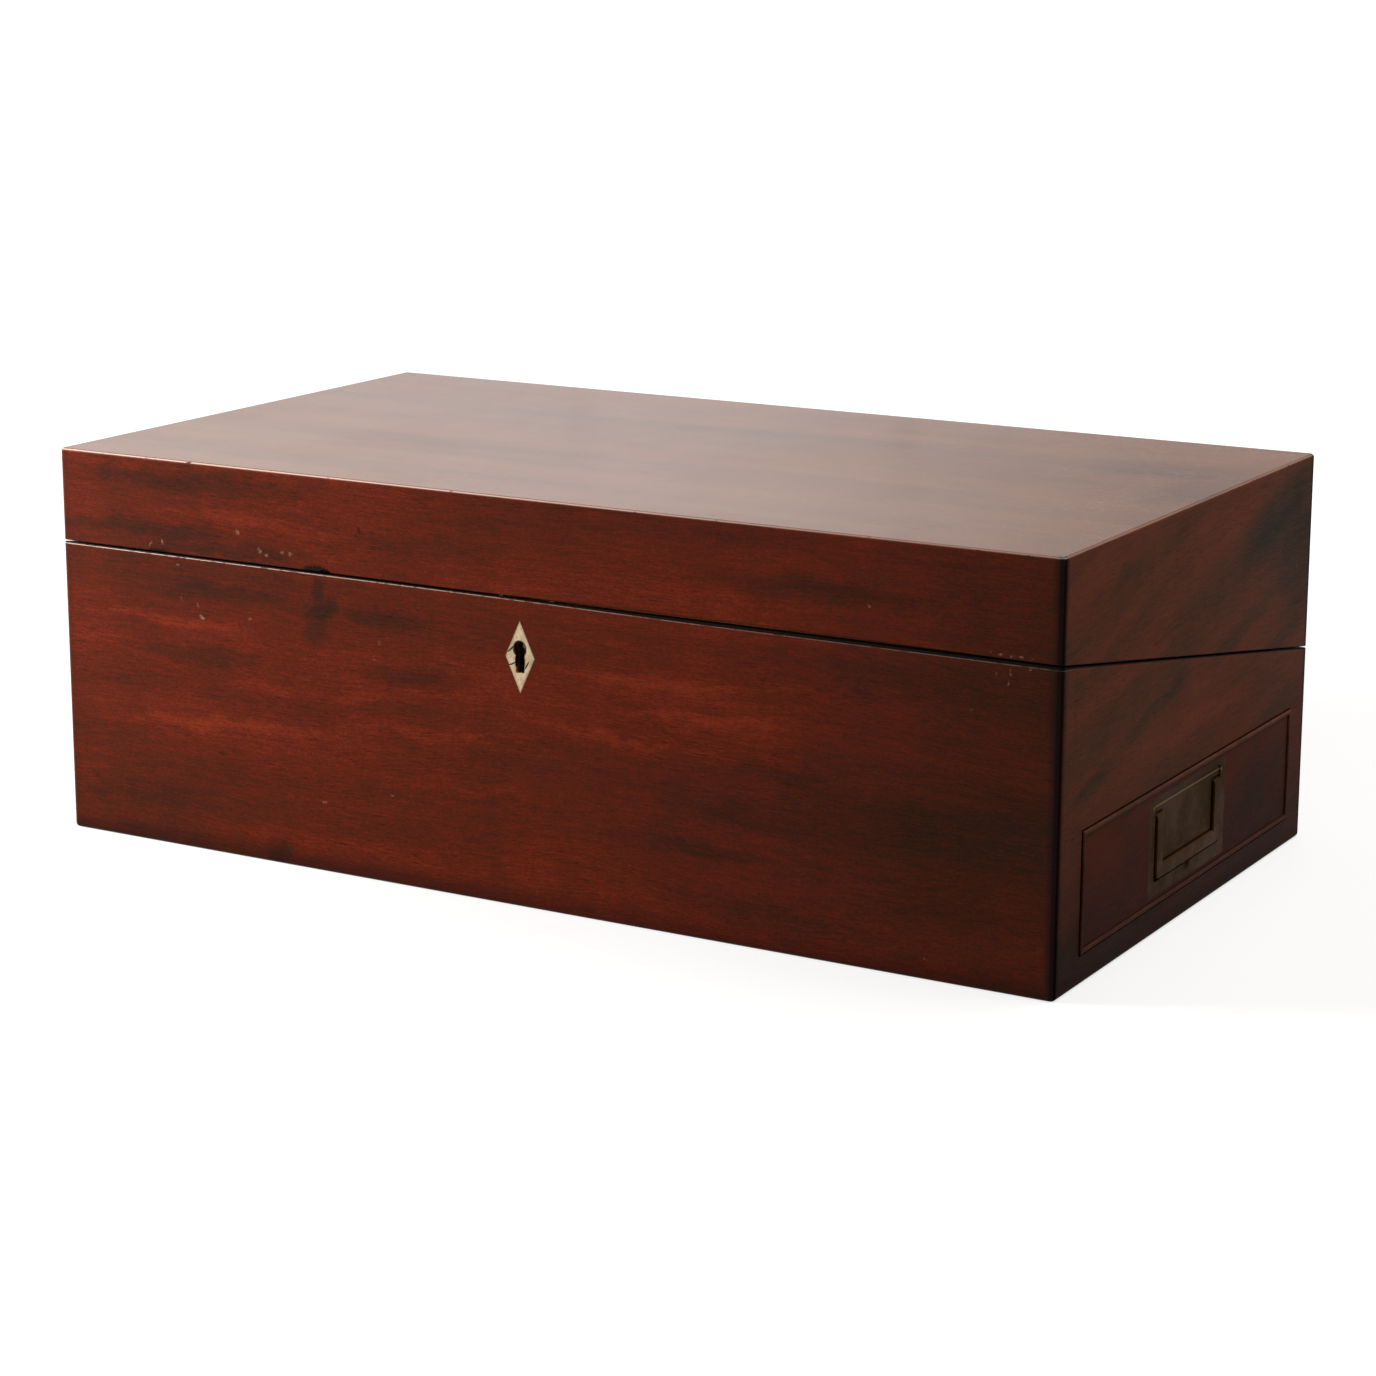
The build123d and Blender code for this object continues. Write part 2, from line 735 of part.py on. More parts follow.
def bail():
    """U-shaped drop handle that lies in the pan and turns out on two stubs."""
    y, z = pivot_place()
    foot = y - bail_drop
    outer = Pos(0, foot + bail_drop / 2) * Rectangle(bail_width, bail_drop)
    outer = fillet(outer.vertices().group_by(Axis.Y)[0], bail_corner)
    inner_width = bail_width - 2 * bail_leg
    inner = Pos(0, foot + bail_bar + bail_drop / 2) * Rectangle(inner_width, bail_drop)
    bow = Pos(0, 0, z - bail_thickness / 2) * extrude(outer - inner, bail_thickness)
    front_edges = bow.faces().sort_by(Axis.Z)[-1].edges()
    bow = fillet(front_edges.filter_by(lambda e: e.center().Y < y - bail_edge), bail_edge)
    for sign in (-1, 1):
        eye = Pos(sign * (bail_width - bail_leg) / 2, y, z) * Rot(0, 90, 0)
        bow = bow + eye * Cylinder(bail_thickness / 2, bail_leg)
        stub_length = (pan_width - bail_width) / 2 + pan_wall
        stub = Pos(sign * (bail_width + stub_length) / 2, y, z) * Rot(0, 90, 0)
        bow = bow + stub * Cylinder(stub_radius, stub_length)
    return bow


# ---------------------------------------------------------------- drawer

def drawer_box():
    """Corners of the closed drawer: x0, x1, y0, y1, z0, z1."""
    return (
        -inner_x + stop_thickness + drawer_end_gap,
        half_width,
        tunnel_y0 + drawer_gap,
        tunnel_y1 - drawer_gap,
        floor_board + drawer_gap,
        tunnel_top - drawer_gap,
    )


def tails(x_root, direction, y0, y1, z0, z1):
    """A row of dovetails that widen away from their root."""
    pitch = (z1 - z0) / tail_count
    root = pitch * tail_share / 2
    end = root + tail_flare
    solids = []
    for i in range(tail_count):
        z = z0 + (i + 0.5) * pitch
        x_end = x_root + direction * tail_length
        points = [(x_root, z - root), (x_end, z - end), (x_end, z + end), (x_root, z + root)]
        outline = Plane.XZ.offset(-y1) * make_face(Polyline(*points, close=True))
        solids.append(extrude(outline, y1 - y0))
    return solids


def cockbead():
    """Four mitred strips with a round nose, proud of the drawer front."""
    x0, x1, y0, y1, z0, z1 = drawer_box()
    across = y1 - y0
    up = z1 - z0
    frame = Plane(origin=(x1 - bead_depth, (y0 + y1) / 2, (z0 + z1) / 2), x_dir=(0, 1, 0), z_dir=(1, 0, 0))
    ring = Rectangle(across, up) - Rectangle(across - 2 * bead, up - 2 * bead)
    strip = extrude(frame * ring, bead_depth + bead_proud)
    nose = strip.faces().sort_by(Axis.X)[-1].edges()
    strip = fillet(nose, bead / 2 - bead / 20)
    sides = []
    long_half = across / 2
    tall_half = up / 2
    for a, b, c in (
        ((-long_half, -tall_half), (long_half, -tall_half), 1),
        ((-long_half, tall_half), (long_half, tall_half), -1),
    ):
        inner_a = (a[0] + bead, a[1] + c * bead)
        inner_b = (b[0] - bead, b[1] + c * bead)
        sides.append(make_face(Polyline(a, b, inner_b, inner_a, close=True)))
    for sign in (-1, 1):
        a = (sign * long_half, -tall_half)
        b = (sign * long_half, tall_half)
        inner_a = (a[0] - sign * bead, a[1] + bead)
        inner_b = (b[0] - sign * bead, b[1] - bead)
        sides.append(make_face(Polyline(a, b, inner_b, inner_a, close=True)))
    return [strip & extrude(frame * side, bead_depth + bead_proud) for side in sides]


def drawer_pieces():
    """Every fixed piece of the drawer."""
    x0, x1, y0, y1, z0, z1 = drawer_box()
    side_top = z1 - drawer_side_drop
    face_x = x1 - drawer_face
    back_x = x0 + drawer_board
    bottom_z = z0 + bottom_lift
    back_foot = bottom_z + bottom_board
    bottom = block(
        x0, face_x + bottom_groove, y0 + drawer_board - bottom_groove, y1 - drawer_board + bottom_groove,
        bottom_z, back_foot)
    front = block(face_x, x1 - bead_depth, y0, y1, z0, z1)
    front = front + block(x1 - bead_depth, x1, y0 + bead, y1 - bead, z0 + bead, z1 - bead)
    front = front - bottom - handle_plane(1) * handle_housing()
    front = cut_all(front, handle_screws(1, screw_blank))
    back = block(x0, back_x, y0, y1, back_foot, side_top)
    sides = {}
    for name, ya, yb in (("front", y0, y0 + drawer_board), ("back", y1 - drawer_board, y1)):
        side = block(back_x, face_x, ya, yb, z0, side_top) + block(x0, back_x, ya, yb, z0, back_foot)
        lapped = tails(face_x, 1, ya, yb, z0, side_top)
        through = tails(back_x, -1, ya, yb, back_foot, side_top)
        side = join_all([side] + lapped + through)
        sides[name] = side - bottom
        front = cut_all(front, lapped)
        back = cut_all(back, through)
    return {
        "drawer_front": front,
        "drawer_side_front": sides["front"],
        "drawer_side_back": sides["back"],
        "drawer_back": back,
        "drawer_bottom": bottom,
        "drawer_bead": Compound(cockbead()),
    }


# ---------------------------------------------------------------- pen compartment

def pen_partition():
    """Wall behind the pens, rebated to carry the flap's edge."""
    lip = upright_board(-inner_x, inner_x, partition_y0, partition_y1, deck_top, -rim)
    shelf = upright_board(
        -inner_x, inner_x, partition_y1, partition_y2, deck_top, -flap_under - flap_seat_gap)
    return lip + shelf


def pen_tray():
    """Lift-out tray with one long scoop, rounded at both ends."""
    x = divider_x - tray_gap
    y0 = -inner_y + tray_gap
    y1 = partition_y0 - tray_gap
    tray = block(-x, x, y0, y1, tray_top - tray_thickness, tray_top)
    z = tray_top - tray_scoop_depth + tray_scoop_radius
    end = x - tray_end - tray_scoop_radius / 2
    scoop = bar_along_x(tray_scoop_radius, -end, end, (y0 + y1) / 2, z)
    for sign in (-1, 1):
        scoop = scoop + Pos(sign * end, (y0 + y1) / 2, z) * Sphere(tray_scoop_radius)
    return tray - scoop


def turned(points):
    """Solid of revolution about Z from (radius, height) points."""
    outline = Plane.XZ * make_face(Polyline(*points, close=True))
    return revolve(outline, Axis.Z)


def inkwell():
    """Square glass bottle with a round neck, standing at the origin."""
    glass = Pos(0, 0, well_height / 2) * Box(well_side, well_side, well_height)
    glass = fillet(glass.edges().filter_by(Axis.Z), well_corner)
    glass = chamfer(glass.faces().sort_by(Axis.Z)[-1].edges(), well_shoulder)
    top = well_height + neck_height
    glass = glass + Pos(0, 0, (well_height + top) / 2) * Cylinder(neck_radius, neck_height)
    shoulder = well_height - well_floor / 2
    return glass - turned([
        (0, well_floor), (well_bore, well_floor), (well_bore, shoulder - (well_bore - neck_bore)),
        (neck_bore, shoulder), (neck_bore, top), (0, top),
    ])


def ink_cap():
    """Domed screw cap with a turned groove, over the inkwell's neck."""
    foot = well_height + cap_lift
    rim_top = foot + cap_side
    bore = neck_radius + cap_clearance
    bore_top = well_height + neck_height + cap_lift
    return turned([
        (bore, foot), (cap_radius, foot), (cap_radius, foot + cap_side / 4),
        (cap_radius - cap_groove, foot + cap_side / 3), (cap_radius - cap_groove, foot + cap_side / 2),
        (cap_radius, foot + cap_side * 0.6), (cap_radius, rim_top),
        (cap_radius * 0.8, rim_top + cap_dome * 0.65), (cap_radius * 0.45, rim_top + cap_dome * 0.95),
        (0, rim_top + cap_dome), (0, bore_top), (bore, bore_top),
    ])


# ---------------------------------------------------------------- the whole box

def base_pieces():
    """Everything fixed in the base."""
    lower, upper = sawn_halves()
    walls = {name: lower & prism for name, prism in mitred_prisms().items()}
    lock_room = [lock_case_body(), lock_plate_body(), keyhole(-half_depth, lock_front)]
    lock_room += [place * screw_blank(short_screw) for place in lock_screw_places()]
    front = cut_all(walls["front"], lock_room + [escutcheon_diamond()])
    back = cut_all(walls["back"], main_hinge_cuts(-1) + flap_wall_cuts(-1))
    left = walls["left"] - handle_plane(-1) * handle_housing()
    left = cut_all(left, handle_screws(-1, screw_blank))
    rail = block(0, width, -depth, depth, 0, floor_board)
    tunnel = block(0, width, tunnel_y0, tunnel_y1, floor_board, tunnel_top)
    hinges = (-hinge_x, hinge_x)
    flap_hinges = (-flap_hinge_x, flap_hinge_x)
    stop_z = (floor_board + tunnel_top) / 2
    bays = []
    bearers = []
    for sign in (-1, 1):
        x0 = divider_x if sign > 0 else -divider_x - divider
        bays.append(upright_board(x0, x0 + divider, -inner_y, partition_y0, deck_top, -divider_drop))
        x1 = divider_x - bearer if sign > 0 else -divider_x
        foot = tray_top - tray_thickness - bearer
        bearers.append(block(x1, x1 + bearer, -inner_y, partition_y0, foot, foot + bearer))
    return {
        "front_wall": front,
        "back_wall": back,
        "left_wall": left,
        "right_wall": walls["right"] - rail - tunnel,
        "right_bottom_rail": walls["right"] & rail,
        "bottom_board": block(-inner_x, inner_x, -inner_y, inner_y, 0, floor_board),
        "drawer_guide_front": block(-inner_x, inner_x, -inner_y, tunnel_y0, floor_board, tunnel_top),
        "drawer_guide_back": block(-inner_x, inner_x, tunnel_y1, inner_y, floor_board, tunnel_top),
        "drawer_stop": block(
            -inner_x, -inner_x + stop_thickness, -stop_length / 2, stop_length / 2,
            stop_z - stop_height / 2, stop_z + stop_height / 2),
        "drawer_deck": block(-inner_x, inner_x, -inner_y, inner_y, tunnel_top, deck_top),
        "pen_partition": pen_partition(),
        "bay_dividers": Compound(bays),
        "tray_bearers": Compound(bearers),
        "pen_tray": pen_tray(),
        "base_flap_ledges": flap_ledges(-1, partition_y2),
        "inkwell_left": Pos(-well_x, well_y, deck_top) * inkwell(),
        "inkwell_right": Pos(well_x, well_y, deck_top) * inkwell(),
        "escutcheon": escutcheon_diamond() - keyhole(-half_depth, -half_depth + escutcheon_thickness),
        "lock_plate": lock_plate(),
        "lock_case": lock_case(),
        "lock_key_pin": lock_key_pin(),
        "base_short_screws": Compound(
            [place * screw(short_screw) for place in lock_screw_places()] + handle_screws(-1, screw)),
        "base_hinge_leaves": Compound([main_leaf(x, -1) for x in hinges]),
        "main_hinge_pins": Compound([main_hinge_pin(x) for x in hinges]),
        "base_hinge_screws": Compound([s for x in hinges for s in main_leaf_screws(x, -1, screw)]),
        "upper_flap_wall_leaves": Compound([flap_hinge_half(x, -1, True) for x in flap_hinges]),
        "upper_flap_pins": Compound([flap_hinge_pin(x, -1) for x in flap_hinges]),
        "left_handle_plate": handle_plane(-1) * handle_plate(),
    }


def lid_pieces():
    """Everything fixed in the lid."""
    lower, upper = sawn_halves()
    wedge = top_wedge()
    walls = {name: upper & prism - wedge for name, prism in mitred_prisms().items()}
    hinges = (-hinge_x, hinge_x)
    flap_hinges = (-flap_hinge_x, flap_hinge_x)
    half = lock_plate_width / 2
    link_room = sloped_board(-half, half, -inner_y - selvedge_width, -inner_y, rim, rim + selvedge)
    link_blanks = [place * screw_blank(screw_length) for place in link_screw_places()]
    front_cuts = [link_room, lid_chip(), lid_hollow()] + link_blanks
    return {
        "lid_top": upper & wedge,
        "lid_front": cut_all(walls["front"], front_cuts),
        "lid_back": cut_all(walls["back"], main_hinge_cuts(1) + flap_wall_cuts(1)),
        "lid_left": walls["left"],
        "lid_right": walls["right"],
        "lid_flap_ledges": flap_ledges(1, -inner_y),
        "link_plate": link_plate(),
        "lid_hinge_leaves": Compound([main_leaf(x, 1) for x in hinges]),
        "lid_screws": Compound(
            [s for x in hinges for s in main_leaf_screws(x, 1, screw)]
            + [place * screw(screw_length) for place in link_screw_places()]),
        "lower_flap_wall_leaves": Compound([flap_hinge_half(x, 1, True) for x in flap_hinges]),
        "lower_flap_pins": Compound([flap_hinge_pin(x, 1) for x in flap_hinges]),
    }


def moving_pieces():
    """Everything that moves against the base or the lid."""
    pieces = flap_pieces(-1, partition_y1 + flap_side_gap, "upper")
    pieces.update(flap_pieces(1, -inner_y + flap_side_gap, "lower"))
    pieces["lower_flap_board"] = pieces["lower_flap_board"] - square_edge()
    pieces.update(drawer_pieces())
    pieces["drawer_handle_plate"] = handle_plane(1) * handle_plate()
    pieces["drawer_handle_screws"] = Compound(handle_screws(1, screw))
    pieces["drawer_bail"] = handle_plane(1) * bail()
    pieces["left_bail"] = handle_plane(-1) * bail()
    pieces["lock_bolt"] = lock_bolt()
    pieces["ink_cap_left"] = Pos(-well_x, well_y, deck_top) * ink_cap()
    pieces["ink_cap_right"] = Pos(well_x, well_y, deck_top) * ink_cap()
    return pieces


os.makedirs("parts", exist_ok=True)
for group in (base_pieces(), lid_pieces(), moving_pieces()):
    for node, solid in group.items():
        export_step(solid, f"parts/{node}.step")
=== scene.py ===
import bpy
import math
from mathutils import Euler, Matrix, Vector


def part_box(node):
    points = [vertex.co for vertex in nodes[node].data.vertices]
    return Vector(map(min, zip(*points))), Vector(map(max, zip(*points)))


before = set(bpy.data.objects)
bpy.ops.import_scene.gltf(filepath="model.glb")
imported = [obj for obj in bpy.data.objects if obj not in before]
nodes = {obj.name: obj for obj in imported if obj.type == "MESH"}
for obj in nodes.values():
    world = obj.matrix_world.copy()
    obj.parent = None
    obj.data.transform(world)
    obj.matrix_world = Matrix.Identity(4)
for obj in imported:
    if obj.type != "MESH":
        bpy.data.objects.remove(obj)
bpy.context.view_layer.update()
print("frame loaded:", len(nodes), "pieces")

mm = 0.001
photoSide = 1376  # the photograph is square

# The closed box's own sizes, read from the frame
frontLow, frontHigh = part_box("front_wall")
backLow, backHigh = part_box("back_wall")
box = {
    "halfWidth": -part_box("left_wall")[0].x,
    "halfDepth": -frontLow.y,
    "height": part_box("lid_top")[1].z,
    "splitFront": frontHigh.z,
    "splitFall": (frontHigh.z - backHigh.z) / (backLow.y - frontLow.y),  # how fast the parting line falls towards the back
}


# Small helpers for shader nodes
def startMaterial(name):
    material = bpy.data.materials.new(name)
    material.use_nodes = True
    material.node_tree.nodes.clear()
    return material, material.node_tree


def plug(tree, socket, value):
    if isinstance(value, bpy.types.NodeSocket):
        tree.links.new(value, socket)
    else:
        socket.default_value = value


def put(tree, kind, settings=None, **inputs):
    node = tree.nodes.new(kind)
    for key, value in (settings or {}).items():
        setattr(node, key, value)
    for key, value in inputs.items():
        plug(tree, node.inputs[key.replace("_", " ")], value)
    return node


def calc(tree, operation, a, b=0.0, c=0.0):
    node = tree.nodes.new("ShaderNodeMath")
    node.operation = operation
    for socket, value in zip(node.inputs, (a, b, c)):
        plug(tree, socket, value)
    return node.outputs[0]


def times(tree, a, b):
    return calc(tree, "MULTIPLY", a, b)


def least(tree, a, b):
    return calc(tree, "MINIMUM", a, b)


def most(tree, a, b):
    return calc(tree, "MAXIMUM", a, b)


# A smooth step of value from low to high, carried onto outLow..outHigh
def fade(tree, value, low, high, outLow=0.0, outHigh=1.0):
    node = tree.nodes.new("ShaderNodeMapRange")
    node.interpolation_type = "SMOOTHSTEP"
    for key, item in zip(("Value", "From Min", "From Max", "To Min", "To Max"), (value, low, high, outLow, outHigh)):
        plug(tree, node.inputs[key], item)
    return node.outputs[0]


def rgba(value):
    return (*value, 1.0) if isinstance(value, tuple) and len(value) == 3 else value


def tint(tree, amount, first, second):
    node = tree.nodes.new("ShaderNodeMix")
    node.data_type = "RGBA"
    plug(tree, node.inputs[0], amount)
    plug(tree, node.inputs[6], rgba(first))
    plug(tree, node.inputs[7], rgba(second))
    return node.outputs[2]


# Linear colour of a display colour: c/12.92 below 0.04045, else ((c+0.055)/1.055)^2.4
def shown(red, green, blue):
    parts = [v / 255 for v in (red, green, blue)]
    return tuple(v / 12.92 if v <= 0.04045 else ((v + 0.055) / 1.055) ** 2.4 for v in parts)


# A colour read off a row of (position, colour) stops
def ramp(tree, value, stops):
    node = tree.nodes.new("ShaderNodeValToRGB")
    elements = node.color_ramp.elements
    while len(elements) < len(stops):
        elements.new(0.5)
    for element, (place, color) in zip(elements, stops):
        element.position = place
        element.color = rgba(color)
    plug(tree, node.inputs[0], value)
    return node.outputs[0]


def stretched(tree, vector, scale, shift=(0.0, 0.0, 0.0)):
    return put(tree, "ShaderNodeMapping", None, Vector=vector, Scale=scale, Location=shift).outputs[0]


def noiseOf(tree, vector, scale, detail=2.0, roughness=0.5, shift=(0.0, 0.0, 0.0)):
    place = stretched(tree, vector, scale, shift)
    return put(tree, "ShaderNodeTexNoise", None, Vector=place, Scale=1.0, Detail=detail, Roughness=roughness).outputs["Fac"]


def joined(tree, x, y, z=0.0):
    return put(tree, "ShaderNodeCombineXYZ", None, X=x, Y=y, Z=z).outputs[0]


def parted(tree):
    coords = put(tree, "ShaderNodeTexCoord").outputs["Object"]
    return coords, put(tree, "ShaderNodeSeparateXYZ", None, Vector=coords).outputs


# The place moved by up to half of reach each way, by a noise of its own: frays the edges of marks
def frayed(tree, vector, reach, scale):
    noise = put(tree, "ShaderNodeTexNoise", None, Vector=vector, Scale=scale, Detail=3.0, Roughness=0.65).outputs["Color"]
    moved = tree.nodes.new("ShaderNodeVectorMath")
    moved.operation = "MULTIPLY_ADD"
    plug(tree, moved.inputs[0], noise)
    plug(tree, moved.inputs[1], (reach, reach, reach))
    plug(tree, moved.inputs[2], vector)
    back = tree.nodes.new("ShaderNodeVectorMath")
    back.operation = "SUBTRACT"
    plug(tree, back.inputs[0], moved.outputs[0])
    plug(tree, back.inputs[1], (reach / 2, reach / 2, reach / 2))
    return back.outputs[0]


# Soft ellipses on a face, the strongest one wins: (u, v, half length, half height, turn in degrees, strength), in mm
def marksOn(tree, place, marks, core):
    total = 0.0
    for u, v, long, tall, turn, strength in marks:
        local = put(tree, "ShaderNodeMapping", {"vector_type": "TEXTURE"}, Vector=place, Location=(u * mm, v * mm, 0.0),
                    Rotation=(0.0, 0.0, math.radians(turn)), Scale=(long * mm, tall * mm, 1.0)).outputs[0]
        reach = tree.nodes.new("ShaderNodeVectorMath")
        reach.operation = "LENGTH"
        plug(tree, reach.inputs[0], local)
        total = most(tree, fade(tree, reach.outputs["Value"], core, 1.0, strength, 0.0), total)
    return total


def finish(tree, color, roughness, fixed, normal=None):
    shader = put(tree, "ShaderNodeBsdfPrincipled", None, Base_Color=color, Roughness=roughness)
    for key, value in fixed.items():
        shader.inputs[key].default_value = value
    if normal is not None:
        plug(tree, shader.inputs["Normal"], normal)
    out = tree.nodes.new("ShaderNodeOutputMaterial")
    tree.links.new(shader.outputs[0], out.inputs["Surface"])


def raised(tree, height, strength, distance):
    return put(tree, "ShaderNodeBump", None, Strength=strength, Distance=distance, Height=height).outputs[0]


def dress(material, *names):
    for name in names:
        slots = nodes[name].data.materials
        slots.clear()
        slots.append(material)


# Mahogany: each field is (along, across, through) waves per metre, noise detail, weight
mahogany = {
    "bands": ((2.4, 36.0, 6.0), 2.0, 0.48),
    "clouds": ((5.5, 14.0, 5.0), 2.0, 0.34),
    "streaks": ((7.0, 125.0, 30.0), 2.0, 0.13),
    "flecks": ((60.0, 420.0, 200.0), 2.0, 0.12),
    "fibres": ((95.0, 1150.0, 400.0), 2.0, 0.38),
    "speckle": ((700.0, 1500.0, 900.0), 1.0, 0.42),
    "mottle": ((44.0, 18.0, 12.0), 2.0, 0.20),
    "pores": (150.0, 1900.0, 700.0),
    "sway": 0.030,         # how far the bands wander across the grain, in metres
    "bump": 0.12,
    # pale worn arris colour, also used for painted highlights on the arrises
    "wornEdgeAndHighlight": shown(250, 222, 206),
    "dent": shown(176, 128, 104),
    # dark of the pores and gouges, also the colour of painted shade
    "grimeAndShade": shown(25, 12, 7),
    # near black of the painted shade in the parting gap
    "gapShadeColor": shown(14, 7, 4),
}
polished = {
    "ramp": ((0.22, shown(134, 50, 27)), (0.46, shown(102, 36, 19)), (0.66, shown(77, 32, 18)), (0.88, shown(50, 27, 16))),
    "roughness": 0.34,
    "fixed": {"Specular IOR Level": 0.05},
}
leftPolished = {
    "ramp": ((0.22, shown(118, 46, 30)), (0.46, shown(91, 36, 23)), (0.66, shown(70, 32, 20)), (0.88, shown(47, 26, 17))),
    "roughness": 0.36,
    "fixed": {"Specular IOR Level": 0.05},
}
# the right side and drawer front: ramps paler and greyer than the front's, partly their browner figure, partly painted
# sheen and light, with almost no specular of their own
sidePolishedAndSheen = {
    "ramp": ((0.20, shown(138, 73, 51)), (0.46, shown(118, 65, 46)), (0.66, shown(86, 58, 42)), (0.88, shown(54, 45, 33))),
    "roughness": 0.38,
    "contrast": 1.15,
    "fixed": {"Specular IOR Level": 0.005},
}
drawerPolishedAndSheen = {
    "ramp": ((0.20, shown(132, 57, 36)), (0.46, shown(110, 50, 31)), (0.66, shown(80, 45, 29)), (0.88, shown(52, 39, 25))),
    "roughness": 0.38,
    "contrast": 1.15,
    "fixed": {"Specular IOR Level": 0.005},
}
beadPolished = {
    "ramp": ((0.22, shown(144, 93, 73)), (0.46, shown(122, 76, 60)), (0.66, shown(96, 61, 48)), (0.88, shown(70, 47, 37))),
    "roughness": 0.42,
    "fixed": {"Specular IOR Level": 0.005},
}
topPolished = {
    "ramp": ((0.22, shown(142, 88, 62)), (0.50, shown(125, 75, 52)), (0.88, shown(90, 55, 40))),
    "roughness": 0.15,
    "contrast": 1.4,
    "fixed": {"Specular IOR Level": 0.33},
}
inside = {
    "ramp": ((0.22, shown(168, 98, 60)), (0.46, shown(142, 78, 46)), (0.66, shown(120, 62, 36)), (0.88, shown(88, 46, 28))),
    "roughness": 0.55,
    "fixed": {"Specular IOR Level": 0.15},
}
lining = {
    "ramp": ((0.22, shown(182, 140, 98)), (0.46, shown(160, 118, 80)), (0.66, shown(138, 98, 64)), (0.88, shown(104, 70, 44))),
    "roughness": 0.72,
    "fixed": {"Specular IOR Level": 0.10},
}

# Marks seen on the front, by their place on the face in mm from its middle and its foot
frontMarks = {
    "dark": ((-105, 129, 5, 11, 0, 0.55), (-105, 120, 13, 9, 0, 0.80), (-107, 110, 10, 11, 0, 0.45), (-72, 119, 34, 7, -2, 0.50),
             (-205, 147, 75, 6, 1, 0.50), (-150, 142, 60, 5, 1, 0.40), (-175, 170, 90, 8, 0, 0.55), (-170, 160, 100, 26, 0, 0.22), (-160, 121, 55, 6, -1, 0.34), (-170, 92, 52, 7, 0, 0.38), (-55, 96, 40, 6, 2, 0.45),
             (-60, 152, 60, 7, 1, 0.30), (150, 155, 85, 9, 1, 0.55), (130, 76, 42, 6, 1, 0.40), (215, 72, 45, 9, 0, 0.50),
             (222, 50, 40, 8, -2, 0.50), (95, 40, 45, 6, 1, 0.35), (140, 15, 90, 12, 0, 0.40), (215, 172, 50, 8, 0, 0.35),
             (-130, 6, 12, 8, 50, 0.55), (120, 56, 60, 7, -2, 0.30), (195, 22, 50, 12, 0, 0.35),
             # the wide mark at (265, 80) is painted shade over the right end of the front
             (265, 80, 170, 150, 0, 0.70), (-210, 14, 80, 26, 0, 0.35)),
    "pale": ((-165, 61, 100, 5, 3, 0.36), (-45, 72, 75, 5, 3, 0.30), (-150, 156, 60, 4.5, -1, 0.26), (-190, 107, 60, 4.5, -2, 0.40),
             (60, 108, 70, 5, 1, 0.30), (95, 96, 55, 4, 1, 0.30), (45, 82, 70, 4, -2, 0.25),
             (-30, 50, 90, 5, 1, 0.22), (-120, 82, 70, 4, 2, 0.25), (-25, 140, 60, 5, 0, 0.18)),
    "dent": ((-198.5, 140.3, 1.9, 0.7, 55, 0.8), (-191.8, 141.8, 0.7, 1.7, 8, 0.7), (-149.0, 150.6, 1.3, 1.7, 30, 0.8),
             (-137.0, 143.4, 1.2, 2.0, 40, 0.65), (-133.2, 141.8, 1.7, 0.9, 10, 0.7), (-124.6, 143.8, 1.5, 1.4, 0, 0.55),
             (-120.2, 143.4, 1.6, 1.5, 60, 0.7), (-183.3, 132.3, 1.1, 0.5, 0, 1.0), (-170.3, 109.4, 2.3, 1.2, -25, 0.8),
             (-172.6, 115.2, 0.7, 1.8, 10, 0.5), (-181.8, 117.0, 0.5, 2.0, 0, 0.4), (-143.2, 111.6, 1.6, 0.9, 20, 0.55),
             (-104.3, 32.3, 1.9, 0.9, 0, 0.75), (-67.4, 40.6, 1.3, 0.7, 0, 0.65), (193.0, 9.2, 1.2, 0.6, 0, 0.6),
             (228.0, 132.0, 0.6, 1.8, 10, 0.7), (227.2, 127.6, 0.5, 1.5, -12, 0.6), (236.8, 134.4, 1.4, 0.6, 20, 0.6),
             (211.6, 115.0, 0.8, 0.8, 0, 0.4), (-73.0, 108.8, 1.0, 1.4, 20, 0.45), (166.0, 151.8, 1.2, 0.6, 0, 0.45),
             (223.6, 138.9, 1.6, 0.6, 0, 0.6), (228.4, 138.7, 1.2, 0.7, 0, 0.7), (232.6, 138.9, 1.4, 0.5, 0, 0.6), (237.4, 138.6, 0.9, 0.5, 0, 0.5),
             (219.4, 139.3, 0.9, 0.5, 0, 0.4), (222.0, 131.0, 0.5, 1.1, 0, 0.4), (-76.0, 101.0, 0.9, 0.6, 0, 0.4)),
    # of the black marks, (0, 111) is painted shade on the keyhole's inner walls
    "black": ((-107.0, 138.4, 8.0, 1.5, 3, 1.0), (-194.0, 137.7, 8.0, 0.9, 0, 0.9), (-82.8, 158.2, 0.9, 2.2, 12, 0.6), (0, 111, 3.6, 7.5, 0, 1.0),
              (-84.4, 155.4, 1.0, 0.9, 0, 0.5)),
}
topMarks = {
    "dark": ((110, 10, 110, 12, 3, 0.12), (-60, -60, 120, 12, -2, 0.25), (30, 62, 90, 14, 4, 0.25), (215, 62, 60, 30, 0, 0.60), (240, 30, 25, 110, 0, 0.35)),
    "pale": ((-150, -90, 90, 10, 2, 0.25), (120, -80, 100, 12, -2, 0.20), (190, -60, 80, 45, 0, 0.20)),
    "dent": ((168, 44, 0.5, 2.2, 20, 0.6), (83, -74, 0.4, 2.0, 25, 0.5)),
    "black": ((-80, 70, 0.5, 4.5, 28, 0.7), (-167, 11, 0.6, 3.0, 30, 0.5), (166.5, 50, 0.7, 1.6, 10, 0.9), (81.5, -69, 0.8, 2.2, 25, 0.9)),
}
